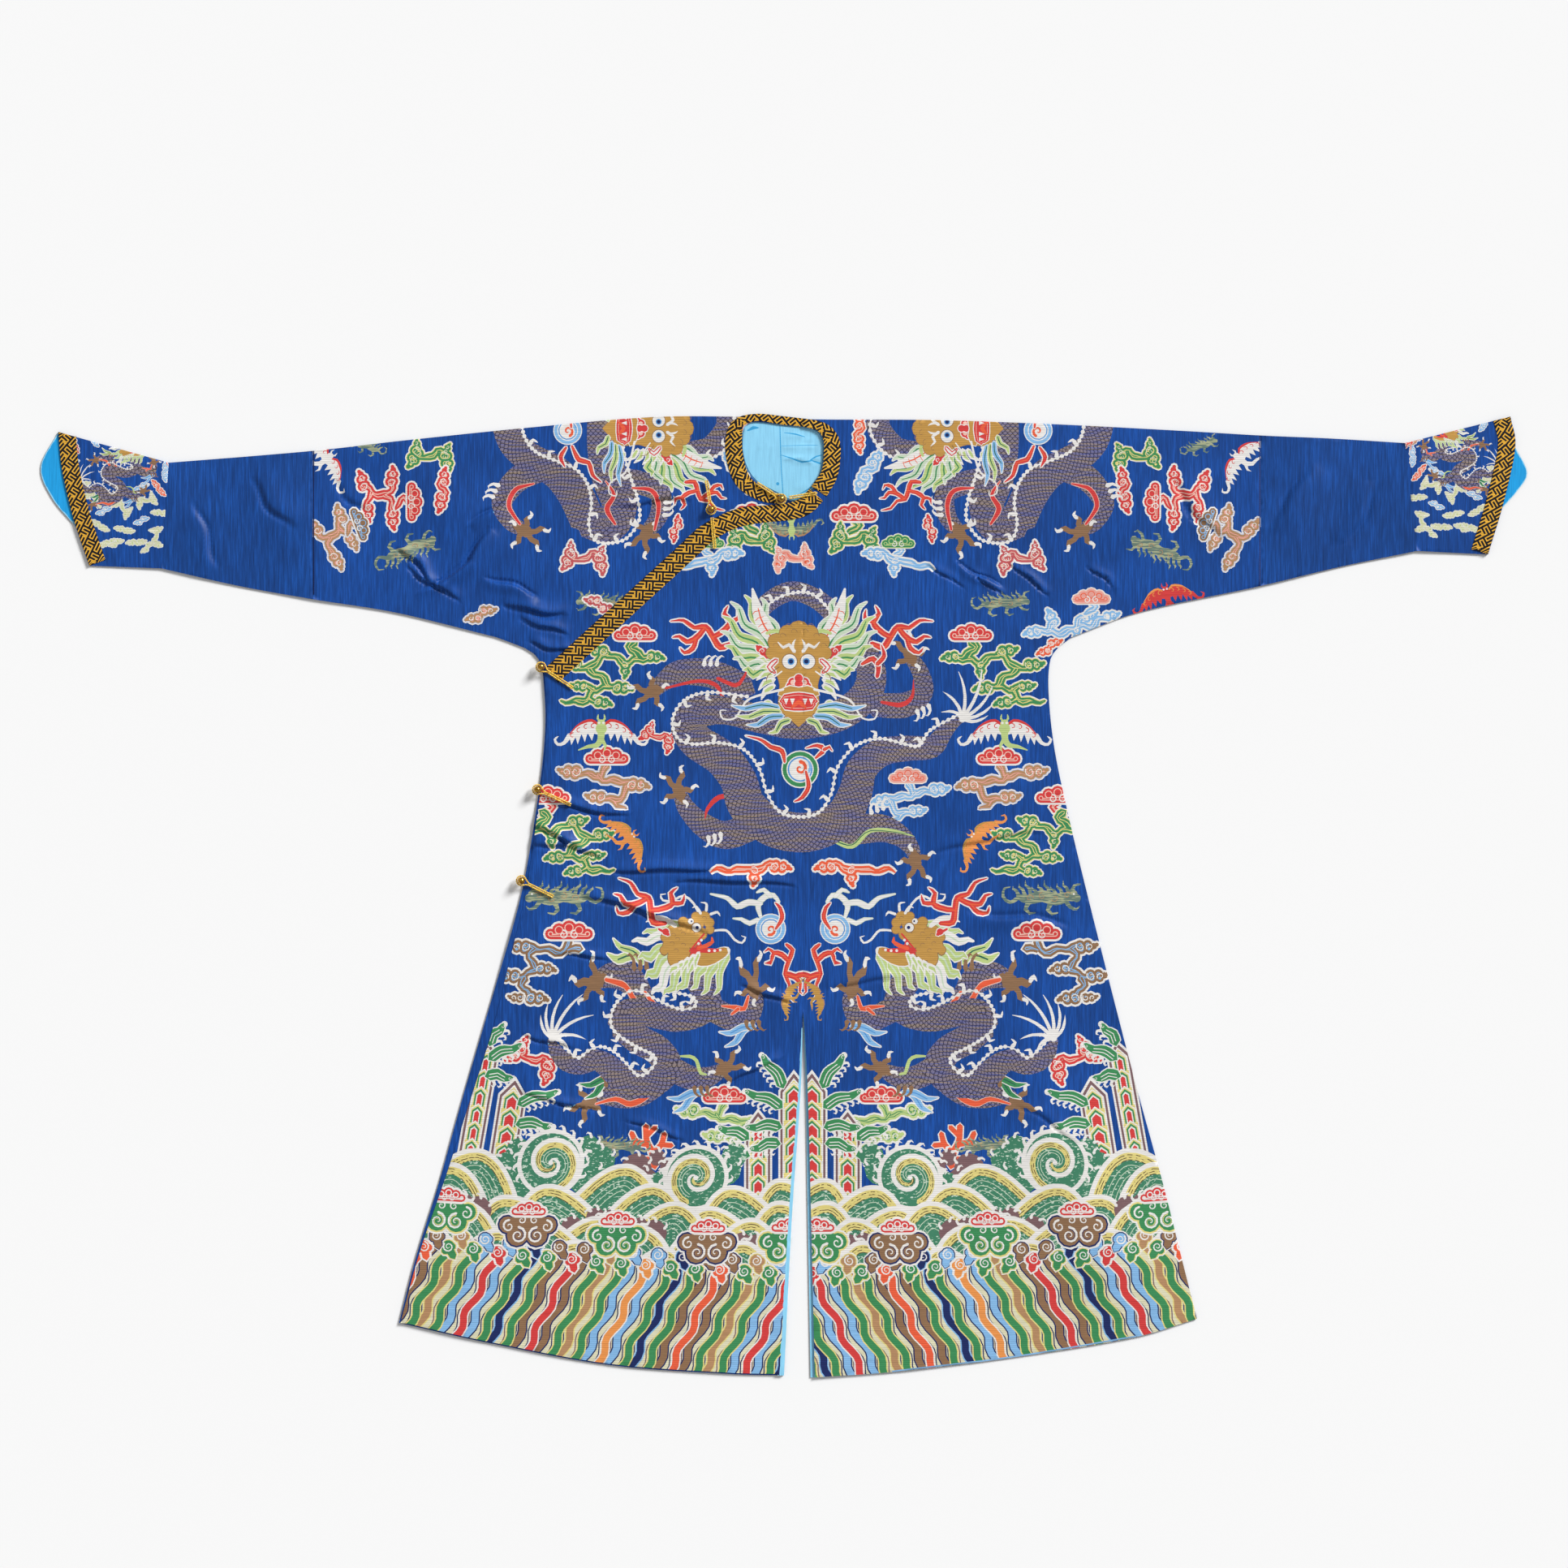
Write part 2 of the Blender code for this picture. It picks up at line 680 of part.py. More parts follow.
def make_closure(name, hub, loop_end, strap_end):
    """A ball, the doubled cord loop that holds it and, where it shows, the ball's own strap."""
    floor = max(band_height(hub[0], hub[1]), overlap_top(0, 0)) + TRIM + 2 * GAP
    level = floor + CORD / 2
    ball("button_" + name, (hub[0], hub[1], floor + BALL_RADIUS))
    cord("loop_" + name, hairpin(hub, loop_end, level, True))
    if strap_end:
        hub, tip = Vector(hub), Vector(strap_end)
        along = (tip - hub).normalized()
        across = Vector((-along.y, along.x)) * (CORD + GAP) / 2
        near = hub + along * (BALL_RADIUS + 2 * CORD + 1.0)
        row = [near + across, hub + (tip - hub) * 0.6 + across, tip + across]
        row += [tip + along * 1.5, tip - across, hub + (tip - hub) * 0.6 - across, near - across]
        cord("strap_" + name, [Vector((p.x, p.y, level)) for p in row])


def main():
    clear_scene()
    make_half("right")
    make_half("left")
    make_overlap()
    for side in ("right", "left"):
        sleeve(side)
        cuff(side)
    ribbon("neck_trim", NECK_BAND, neck_height, "fret_trim")
    ribbon("overlap_trim", OVERLAP_BAND, band_height, "fret_trim")
    neck_lining()
    for name, (hub, loop_end, strap_end) in CLOSURES.items():
        make_closure(name, hub, loop_end, strap_end)


main()
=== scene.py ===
"""Chinese dragon robe, laid flat: brocade, linings, key-fret bands, ball buttons and cords."""

import math

import bmesh
import bpy
import numpy as np
from bpy.props import FloatProperty, PointerProperty
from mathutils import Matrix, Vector
from mathutils.geometry import delaunay_2d_cdt


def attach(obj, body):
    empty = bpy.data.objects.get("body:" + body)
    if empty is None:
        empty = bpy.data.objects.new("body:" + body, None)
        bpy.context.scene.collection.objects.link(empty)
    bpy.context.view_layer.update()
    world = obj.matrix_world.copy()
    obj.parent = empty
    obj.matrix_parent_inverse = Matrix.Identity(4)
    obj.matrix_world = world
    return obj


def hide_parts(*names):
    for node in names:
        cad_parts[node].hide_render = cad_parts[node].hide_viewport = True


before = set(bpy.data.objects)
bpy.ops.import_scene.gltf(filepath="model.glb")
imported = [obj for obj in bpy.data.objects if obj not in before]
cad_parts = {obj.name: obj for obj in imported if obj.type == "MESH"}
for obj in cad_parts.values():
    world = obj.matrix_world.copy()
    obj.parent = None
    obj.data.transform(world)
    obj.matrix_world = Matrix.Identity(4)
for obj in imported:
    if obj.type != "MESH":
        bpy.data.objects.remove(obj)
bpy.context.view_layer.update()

bl_info = {
    "name": "Chinese Dragon Robe",
    "version": (1, 0, 0),
    "blender": (4, 5, 0),
    "location": "View3D > Sidebar > Dragon Robe",
    "description": "Builds a brocaded dragon robe laid flat",
    "category": "Object",
}

MM = 0.001


# ---------------------------------------------------------------- sizes and outlines, in millimetres

CLOTH = 1.5
GAP = 0.3
TRIM = 1.2
FRONT_TOP = 2 * CLOTH + GAP
OVERLAP_TOP = FRONT_TOP + GAP + CLOTH
SHEET = 0.9
CENTRE_X = 27.0
VENT_TOP = -165.0
LIFT_REACH = 150.0
VENT_LINING = 6.0
RIGHT_SLEEVE_SEAM = -673.0
LEFT_SLEEVE_SEAM = 681.0
RIGHT_CUFF_SEAM = ((-879.0, 618.0), (-889.0, 467.0))
LEFT_CUFF_SEAM = ((887.0, 646.0), (904.0, 492.0))
CUFF_BAND = 25.0

# Shoulder fold: x, y
SHOULDER = (
    (-879, 618), (-673, 635), (-541, 650), (-367, 668), (-193, 683), (-77, 684), (39, 680),
    (213, 679), (387, 673), (561, 664), (681, 657), (793, 652), (887, 646),
)
# Lower edge of each sleeve, cuff to armpit: x, y
RIGHT_UNDERARM = ((-889, 467), (-779, 442), (-673, 423), (-555, 404), (-412, 369))
LEFT_UNDERARM = ((904, 492), (793, 469), (681, 442), (506, 404), (411, 369))
# Side of the skirt, armpit to hem: y, x
RIGHT_SIDE = (
    (369, -412), (351, -366), (334, -349), (299, -343), (240, -341), (150, -350), (3, -375),
    (-136, -414), (-275, -455), (-414, -494), (-518, -526), (-611, -550),
)
LEFT_SIDE = (
    (369, 411), (351, 389), (334, 380), (290, 378), (212, 386), (120, 405), (3, 433),
    (-136, 468), (-275, 504), (-414, 542), (-518, 568), (-605, 590),
)
# Hems, side to centre: x, y
RIGHT_HEM = ((-550, -611), (-425, -639), (-251, -671), (-77, -684), (0, -686))
LEFT_HEM = ((590, -605), (503, -631), (329, -660), (155, -681), (38, -689))
# Edges of the centre vent, top to hem: y, x
RIGHT_VENT = ((-165, 27), (-275, 24), (-449, 12), (-686, 0))
LEFT_VENT = ((-165, 27), (-275, 31), (-449, 34), (-689, 38))
NECK_HOLE = (
    (-50, 675), (-61, 648), (-56, 615), (-40, 591), (-12, 575), (12, 563),
    (27, 566), (45, 583), (56, 615), (57, 645), (46, 666), (8, 671),
)
# Centre lines of the bands: x, y, half width
NECK_BAND = (
    (-8, 565, 6), (-30, 572, 9), (-55, 588, 11), (-67, 611, 12), (-72, 640, 12), (-70, 663, 11),
    (-62, 677, 7), (-37, 683, 5), (-6, 679, 6), (35, 674, 6), (56, 667, 8), (67, 652, 11),
    (69, 633, 12), (65, 602, 12), (50, 577, 13),
)
OVERLAP_BAND = (
    (46, 572, 13), (30, 556, 13), (6, 548, 12), (-26, 545, 12), (-54, 542, 13), (-77, 535, 13),
    (-97, 525, 13), (-115, 513, 14), (-147, 483, 14), (-240, 398, 14), (-332, 314, 14),
)
OVERLAP_INSET = ((300, 2), (100, 3), (-60, 8), (-200, 14), (-340, 10), (-480, 4), (-611, 2))
RIGHT_CUFF_EDGE = ((-1037, 662), (-1032, 610), (-1016, 540), (-993, 471))
LEFT_CUFF_EDGE = ((1038, 684), (1045, 640), (1028, 560), (1006, 487))
RIGHT_CUFF_LINING = ((-1037, 662), (-1062, 612), (-1046, 568), (-1014, 529))
LEFT_CUFF_LINING = ((1045, 640), (1062, 604), (1048, 578), (1026, 553))

BALL_RADIUS = 5.4
CORD = 2.6
CLOSURES = {
    "neck": ((-4, 566), (-39, 589), (45, 574)),
    "collarbone": ((-104, 551), (-111, 593), (-99, 497)),
    "armpit": ((-347, 326), (-301, 296), None),
    "side_upper": ((-352, 151), (-304, 129), None),
    "side_lower": ((-375, 21), (-329, -2), None),
}


# ---------------------------------------------------------------- curves and outlines


def interpolate(table, t):
    """Smooth value at t of a table of (t, value) rows, as in the solid model."""
    rows = sorted(table)
    if t <= rows[0][0]:
        return rows[0][1]
    if t >= rows[-1][0]:
        return rows[-1][1]
    i = max(k for k in range(len(rows) - 1) if rows[k][0] <= t)
    slopes = []
    for k in (i, i + 1):
        low, high = rows[max(k - 1, 0)], rows[min(k + 1, len(rows) - 1)]
        slopes.append((high[1] - low[1]) / (high[0] - low[0]))
    span = rows[i + 1][0] - rows[i][0]
    s = (t - rows[i][0]) / span
    return (
        (2 * s**3 - 3 * s**2 + 1) * rows[i][1]
        + (s**3 - 2 * s**2 + s) * span * slopes[0]
        + (3 * s**2 - 2 * s**3) * rows[i + 1][1]
        + (s**3 - s**2) * span * slopes[1]
    )


def spread(start, end, step):
    count = max(1, round(abs(end - start) / step))
    return [start + (end - start) * k / count for k in range(count + 1)]


def smooth(points, step, closed=False):
    """Catmull-Rom curve through rows of numbers, about one step apart in the first two columns."""
    rows = np.array(points, float)
    count = len(rows)
    path = []
    for i in range(count if closed else count - 1):
        if closed:
            a, b, c, d = (rows[(i + k) % count] for k in (-1, 0, 1, 2))
        else:
            b, c = rows[i], rows[i + 1]
            a = rows[i - 1] if i else 2 * b - c
            d = rows[i + 2] if i + 2 < count else 2 * c - b
        parts = max(1, round(float(np.hypot(*(c - b)[:2])) / step))
        s = (np.arange(parts) / parts)[:, None]
        path.append(0.5 * (2 * b + (c - a) * s + (2 * a - 5 * b + 4 * c - d) * s**2
                           + (3 * b - a - 3 * c + d) * s**3))
    if not closed:
        path.append(rows[-1:])
    return np.vstack(path)


def normals_of(path, closed=False):
    """Unit vectors to the left of a path."""
    xy = path[:, :2]
    if closed:
        along = np.roll(xy, -1, 0) - np.roll(xy, 1, 0)
    else:
        along = np.gradient(xy, axis=0)
    length = np.maximum(np.hypot(along[:, 0], along[:, 1]), 1e-9)
    return np.stack([-along[:, 1], along[:, 0]], 1) / length[:, None]


def ribbon(rows, step):
    """Outline of a stroke along rows of x, y, width, with rounded ends."""
    path = smooth(rows, step)
    side = normals_of(path) * np.maximum(path[:, 2:3], 0.1) / 2
    along = np.stack([side[:, 1], -side[:, 0]], 1)
    tail = path[:1, :2] - along[:1] * 0.9
    nose = path[-1:, :2] + along[-1:] * 0.9
    return np.vstack([path[:, :2] + side, nose, (path[:, :2] - side)[::-1], tail])


def inside(outline, points):
    """Whether each point has a winding number that isn't zero in the closed outline."""
    a, b = outline, np.roll(outline, -1, 0)
    if len(points) < 1500:
        px, py = points[:, 0:1], points[:, 1:2]
        cross = (b[:, 0] - a[:, 0]) * (py - a[:, 1]) - (px - a[:, 0]) * (b[:, 1] - a[:, 1])
        up = (a[:, 1] <= py) & (b[:, 1] > py) & (cross > 0)
        down = (a[:, 1] > py) & (b[:, 1] <= py) & (cross < 0)
        return (up.sum(1) - down.sum(1)) != 0
    order = np.argsort(points[:, 1])
    xs, ys = points[order, 0], points[order, 1]
    turns = np.zeros(len(points), int)
    for (x0, y0), (x1, y1) in zip(a, b):
        way = 1 if y1 > y0 else -1
        i, j = np.searchsorted(ys, (min(y0, y1), max(y0, y1)))
        cross = (x1 - x0) * (ys[i:j] - y0) - (xs[i:j] - x0) * (y1 - y0)
        turns[i:j] += np.where(cross * way > 0, way, 0)
    result = np.empty(len(points), bool)
    result[order] = turns != 0
    return result


# ---------------------------------------------------------------- drawing kit


class Pen:
    """Draws shapes in a frame of its own onto a shared list of (outline, yarn, grain path)."""

    def __init__(self, shapes, matrix=((1, 0, 0), (0, 1, 0)), size=1.0):
        self.shapes = shapes
        self.matrix = np.array(matrix, float)
        self.size = size

    def at(self, x=0.0, y=0.0, size=1.0, turn=0.0, flip=False):
        """A pen whose origin is at x, y, scaled, turned in degrees and mirrored in its own x."""
        c, s = math.cos(math.radians(turn)), math.sin(math.radians(turn))
        m = np.array([[c * size, -s * size, x], [s * size, c * size, y]])
        if flip:
            m[:, 0] *= -1
        linear = self.matrix[:, :2] @ m[:, :2]
        shift = self.matrix[:, :2] @ m[:, 2] + self.matrix[:, 2]
        return Pen(self.shapes, np.column_stack([linear, shift]), self.size * size)

    def world(self, points):
        return np.asarray(points, float)[:, :2] @ self.matrix[:, :2].T + self.matrix[:, 2]

    def area(self, points, yarn, step=5.0, curved=True):
        """A filled outline, smoothed through its points unless it is angular."""
        points = np.array(points, float)
        if curved:
            points = smooth(points, step / self.size, closed=True)
        self.shapes.append((self.world(points), yarn, None))

    def stroke(self, points, yarn, step=6.0, grain=False, width=None):
        """A line of the widths in the points' third column, or of one width."""
        rows = [tuple(p) + ((width,) if len(p) == 2 else ()) for p in points]
        path = None
        if grain:
            path = smooth(rows, 4.0 / self.size)
            path = np.column_stack([self.world(path), path[:, 2] * self.size])
        self.shapes.append((self.world(ribbon(rows, step / self.size)), yarn, path))

    def disc(self, x, y, radius, yarn, sides=12):
        angle = np.arange(sides) * 2 * math.pi / sides
        points = np.stack([x + radius * np.cos(angle), y + radius * np.sin(angle)], 1)
        self.shapes.append((self.world(points), yarn, None))

    def spiral(self, x, y, radius, turns, width, yarn, start=0.0, hand=1, tip=0.25):
        """A line that winds in from radius to the middle."""
        count = max(7, int(turns * 11))
        rows = []
        for k in range(count + 1):
            t = k / count
            a = math.radians(start) + hand * 2 * math.pi * turns * t
            r = radius * (1 - t) + radius * 0.12 * t
            rows.append((x + r * math.cos(a), y + r * math.sin(a), width * (1 - (1 - tip) * t)))
        self.shapes.append((self.world(ribbon(rows, 50.0)), yarn, None))

    def union(self, parts, layers):
        """Discs (x, y, r) and strokes (list of x, y, width) filled as one shape, layer by layer.

        Each layer is (margin, yarn): the shape grown by margin, or shrunk if it is below zero."""
        for margin, yarn in layers:
            for part in parts:
                if isinstance(part[0], (int, float)):
                    if part[2] + margin > 0.4:
                        sides = 8 if part[2] * self.size < 6 else 12
                        self.disc(part[0], part[1], part[2] + margin, yarn, sides)
                else:
                    grown = [(x, y, w + 2 * margin) for x, y, w in part]
                    if max(r[2] for r in grown) > 0.6:
                        self.stroke([(x, y, max(w, 0.3)) for x, y, w in grown], yarn)


# ---------------------------------------------------------------- motifs, sizes in millimetres

# Yarns of a cloud: rim, body and inner line
CLOUD_YARNS = {"red": ("ivory", "red", "blush"), "coral": ("ivory", "rose", "blush"),
    "rose": ("ivory", "madder", "blush"), "pink": ("blush", "pink", "rose"),
    "green": ("butter", "green", "butter"), "lime": ("lime", "green", "lime"),
    "pale": ("ivory", "lime", "green"), "azure": ("ivory", "azure", "ivory"),
    "brown": ("lavender", "brown", "lavender"), "tan": ("ivory", "brown", "azure"),
    "wan": ("mist", "cream", "lime"), "dusk": ("lavender", "tan", "pink"),
    "white": ("azure", "blush", "rose"),}


def cloud_layers(yarns):
    rim, body, line = CLOUD_YARNS[yarns]
    return ((2.7, "ivory"), (1.3, rim), (0, body), (-3.4, line), (-4.7, body))


def cap(pen, layers):
    """Ruyi head of a cloud: five lobes over a flat base with a pair of curls."""
    parts = [(0, 7, 9.5), (-13, 4, 9), (13, 4, 9), (-24, -1, 7), (24, -1, 7), [(-24, -3, 10), (0, -2, 12),
        (24, -3, 10)]]
    pen.union(parts, layers)
    for side in (-1, 1):
        pen.spiral(7.5 * side, -2, 6, 1.4, 2.0, layers[0][1], 90, side)


def winding(rows):
    """A cloud's neck with small waves put into it."""
    path = smooth(rows, 2.5)
    run = np.r_[0, np.cumsum(np.hypot(*np.diff(path[:, :2], axis=0).T))]
    fade = np.clip(np.minimum(run, run[-1] - run) / 8, 0, 1)
    path[:, :2] += normals_of(path) * (2.6 * fade * np.sin(run / 4.6))[:, None]
    path[:, 2] *= 1.2 + 0.2 * np.cos(run / 4.6)
    return path[::2].tolist() + path[-1:].tolist()


def cloud(pen, shape, yarns, head=None):
    """Cloud of curled lobes joined by winding necks, with a cap of other yarns at its origin."""
    lobes, necks = shape
    layers = cloud_layers(yarns)
    parts = [winding(row) for row in necks]
    curls = []
    for x, y, tip, size in lobes:
        c, s = size * math.cos(math.radians(tip)), size * math.sin(math.radians(tip))
        for a, b, r in ((-4, 2, 7), (-2, -3, 6.5), (6, 3, 6.2), (8, -2.5, 5.4), (14, 1, 4.4), (18, 3, 2.8)):
            parts.append((x + a * c - b * s, y + a * s + b * c, r * size))
        for a, b, r, hand in ((-3, 0.5, 6.4, 1), (9, 0, 4.8, -1)):
            curls.append((x + a * c - b * s, y + a * s + b * c, r * size, tip + 150 * hand, hand))
    pen.union(parts, layers)
    for x, y, radius, start, hand in curls:
        pen.spiral(x, y, radius, 1.15, 1.5, "cream" if yarns == "green" else "ivory", start, hand)
    if head:
        cap(pen, cloud_layers(head))


# Shapes of clouds: lobes of x, y, direction of the tip and size, then necks of x, y, width
GREAT = (((-26, -32, 180, 0.9), (14, -47, 265, 0.85), (50, -24, 5, 1.0), (88, -44, 0, 1.0),
    (22, -77, 180, 1.0), (78, -75, 0, 0.85), (50, -98, 185, 0.9)), (((0, -10, 9), (6, -20, 11),
    (-8, -32, 11), (-26, -32, 9)), ((-8, -34, 8), (14, -40, 9), (34, -30, 8), (50, -24, 7)),
    ((40, -27, 8), (56, -38, 9), (68, -50, 9), (86, -44, 7)), ((66, -50, 9), (48, -63, 9), (36, -73, 8),
    (22, -77, 7)), ((36, -75, 7), (56, -79, 8), (78, -75, 7)), ((60, -78, 7), (66, -90, 9), (84, -98, 8),
    (108, -96, 2)), ((68, -92, 7), (50, -98, 7))),)
RAMBLE = (((48, -20, 0, 1.15), (-40, -38, 180, 1.1), (12, -56, 0, 1.0)), (((0, -10, 8), (8, -24, 9),
    (26, -24, 8), (50, -20, 7)), ((12, -24, 8), (0, -33, 9), (-20, -32, 9), (-40, -38, 7)),
    ((-28, -40, 8), (-26, -51, 9), (-10, -60, 9), (12, -56, 7)), ((-10, -60, 7), (-18, -68, 6),
    (-28, -72, 2))),)
CASCADE = (((60, -18, 0, 1.0), (34, -46, 180, 0.9), (74, -56, 0, 1.0), (46, -84, 180, 1.0),
    (66, -84, 0, 0.7)), (((0, -10, 7), (2, -20, 9), (20, -24, 8), (44, -18, 8), (60, -18, 7)),
    ((44, -20, 8), (52, -32, 9), (44, -44, 8), (34, -46, 7)), ((44, -48, 8), (56, -54, 8), (74, -56, 7)),
    ((58, -58, 9), (60, -70, 9), (50, -82, 8)), ((-14, -20, 8), (2, -22, 8))),)
FORK = (((-24, 20, 100, 1.0), (17, 26, 78, 1.0), (-17, -18, 268, 0.9), (18, -27, 268, 1.0)),
    (((-24, 18, 8), (-10, 8, 9), (4, 3, 9), (14, 8, 9), (17, 24, 8)), ((-12, 8, 8), (-18, -4, 8),
    (-17, -18, 8)), ((6, 3, 8), (18, -8, 9), (18, -27, 8))),)
TWIN = (
    ((-23, -6, 250, 1.15), (22, 0, 292, 1.2), (20, 12, 80, 0.6), (-24, 6, 110, 0.6)),
    (((-23, -2, 8), (-10, 7, 8), (-2, -4, 8), (8, -6, 8), (22, 2, 8)),),
)
PLUME = (((1, 15, 82, 0.95), (0, -16, 268, 1.05)), (((1, 15, 8), (5, 4, 8), (-3, -5, 8), (0, -16, 8)),))
TRAIL = (
    ((-28, 4, 175, 1.0), (2, -8, 262, 0.95)),
    (((-28, 4, 8), (-12, 6, 8), (0, -6, 9), (16, -2, 8), (32, -10, 7), (46, -6, 6), (62, -14, 2)),),
)
SPRAWL = (((-58, -2, 180, 1.0), (-28, 12, 100, 1.05), (28, 12, 10, 0.9), (62, 10, 0, 0.9),
    (8, -10, 265, 0.8)), (((-58, -2, 8), (-40, -2, 9), (-28, 10, 8)), ((-40, -4, 8), (-16, -8, 10),
    (4, -4, 9), (14, 8, 9), (28, 12, 8)), ((10, 0, 8), (34, -2, 9), (48, 8, 8), (62, 10, 7))),)
STEM = ((), (((0, -6, 8), (5, -14, 9), (0, -22, 8), (-12, -26, 3)),))
SMALL = (((8, 4, 0, 0.9), (-8, -8, 180, 0.9)), (((10, 4, 7), (-2, 0, 8), (2, -6, 8), (-8, -8, 7)),))


def tongue(pen, rows, yarn="red", rim="ivory"):
    """One flame or streamer, tapering along rows of x, y, width."""
    pen.stroke([(x, y, w + 3.2) for x, y, w in rows], rim)
    pen.stroke(rows, yarn)
    pen.stroke([(x, y, w * 0.28) for x, y, w in rows[:-1]], "rose" if yarn == "red" else rim)


def flame(pen, yarn="red", rim="ivory"):
    """Branching flame that runs from its root at the origin out along +x."""
    rows = (
        ((0, 0, 5), (14, -6, 8), (24, 6, 7), (34, 18, 7), (48, 16, 5), (62, 24, 4), (78, 22, 1)),
        ((34, 18, 6), (44, 4, 7), (56, -2, 6), (66, 4, 4), (74, 2, 1)),
        ((44, 4, 5), (48, -10, 6), (58, -16, 4), (64, -10, 1)),
        ((24, 6, 6), (12, 14, 7), (4, 26, 7), (12, 36, 5), (8, 46, 1)),
        ((4, 26, 5), (-6, 32, 5), (-4, 42, 1)),
    )
    for row in rows:
        pen.stroke([(x, y, w + 3.2) for x, y, w in row], rim)
    for row in rows:
        pen.stroke(row, yarn)
    if yarn == "red":
        for row in rows:
            pen.stroke([(x + 0.8, y - 0.8, w * 0.3) for x, y, w in row[:-1]], "rose")


def pearl(pen, radius, ring):
    """Flaming pearl: a ringed disc with a curling tongue."""
    for k, yarn in ((1.0, "ivory"), (0.93, ring), (0.72, "ivory"), (0.66, "sky"), (0.58, "ivory")):
        pen.disc(0, 0, radius * k, yarn, 24)
    pen.stroke([(0.4 * radius, 0.5 * radius, 2), (0.55 * radius, 0.1 * radius, 4),
                (0.3 * radius, -0.4 * radius, 2)], "azure")
    pen.spiral(0, 0.05 * radius, 0.36 * radius, 1.1, 0.2 * radius, "rose", 90, -1)
    tongue(pen, [(0.3 * radius, -0.1 * radius, 3), (0.45 * radius, -0.9 * radius, 6),
                 (0.1 * radius, -1.5 * radius, 5), (-0.3 * radius, -1.7 * radius, 1.5)])


def beads(pen, path, hooks=4, size=3.0):
    """Spine of white bones: a fine line, ring after ring, and hooked fins."""
    fine = smooth(path, 7.6)
    out = normals_of(fine)
    pen.stroke([tuple(p[:2]) for p in path], "ivory", width=2.0)
    for i, (p, n) in enumerate(zip(fine, out)):
        pen.disc(p[0], p[1], size, "ivory", 8)
        pen.disc(p[0], p[1], size * 0.38, "navy", 5)
        if i % hooks == hooks // 2:
            a, b = n, np.array([-n[1], n[0]])
            q = p[:2] + a * 2
            pen.stroke([(q[0], q[1], 6), (*(q + a * 7 - b * 2), 4.4), (*(q + a * 10 + b * 5), 0.8)],
                "ivory", 4.0)


def foot(pen, turn=0.0):
    """Clawed foot whose toes spread along +x from the ankle at the origin."""
    pen = pen.at(0, 0, 1, turn)
    pen.stroke([(-6, 0, 15), (8, 0, 17)], "brown")
    for angle, length in ((-100, 20), (-35, 26), (25, 26), (95, 22), (180, 16)):
        toe = pen.at(6 if abs(angle) < 90 else 2, 0, 1, angle)
        toe.stroke([(0, 0, 9), (length * 0.5, 2, 7.5), (length * 0.8, -1, 8), (length, 1, 5)], "brown")
        toe.stroke([(length - 1, 2, 5.5), (length + 5, 5, 4.5), (length + 9, 1, 0.8)], "ivory", 3.0)


def limb(pen, rows, turn):
    """Leg along rows of x, y, width, ending in a foot turned by turn degrees."""
    pen.stroke(rows, "hide", grain=True)
    foot(pen.at(*rows[-1][:2]), turn)


def barbs(pen, x, y, turn, yarn="ivory"):
    pen = pen.at(x, y, 1, turn)
    for k in range(3):
        pen.stroke([(k * 9 - 9, -2, 7), (k * 9 - 8, 6, 4), (k * 9 - 2, 11, 2.5), (k * 9 + 2, 9, 0.8)],
            yarn, 3.5)


def strand(pen, rows, yarn, rim="ivory", core="green"):
    """Lock of mane or beard: pale rim, coloured body and a fine line along it."""
    pen.stroke([(x, y, w + 2.6) for x, y, w in rows], rim)
    pen.stroke(rows, yarn)
    pen.stroke([(x, y, max(0.9, w * 0.2)) for x, y, w in rows[:-1]], core)


def tail_fan(pen, turn):
    """Long white spines at the end of a tail, spreading along +x."""
    pen = pen.at(0, 0, 1, turn)
    for angle, length in ((-78, 34), (-52, 48), (-28, 62), (-4, 76), (20, 66), (46, 46), (72, 28)):
        spine = pen.at(0, 0, 1, angle)
        spine.stroke([(-3, 0, 5.5), (length * 0.4, 0, 4.6), (length * 0.75, 6, 3.4), (length, 15, 0.8)],
            "ivory")


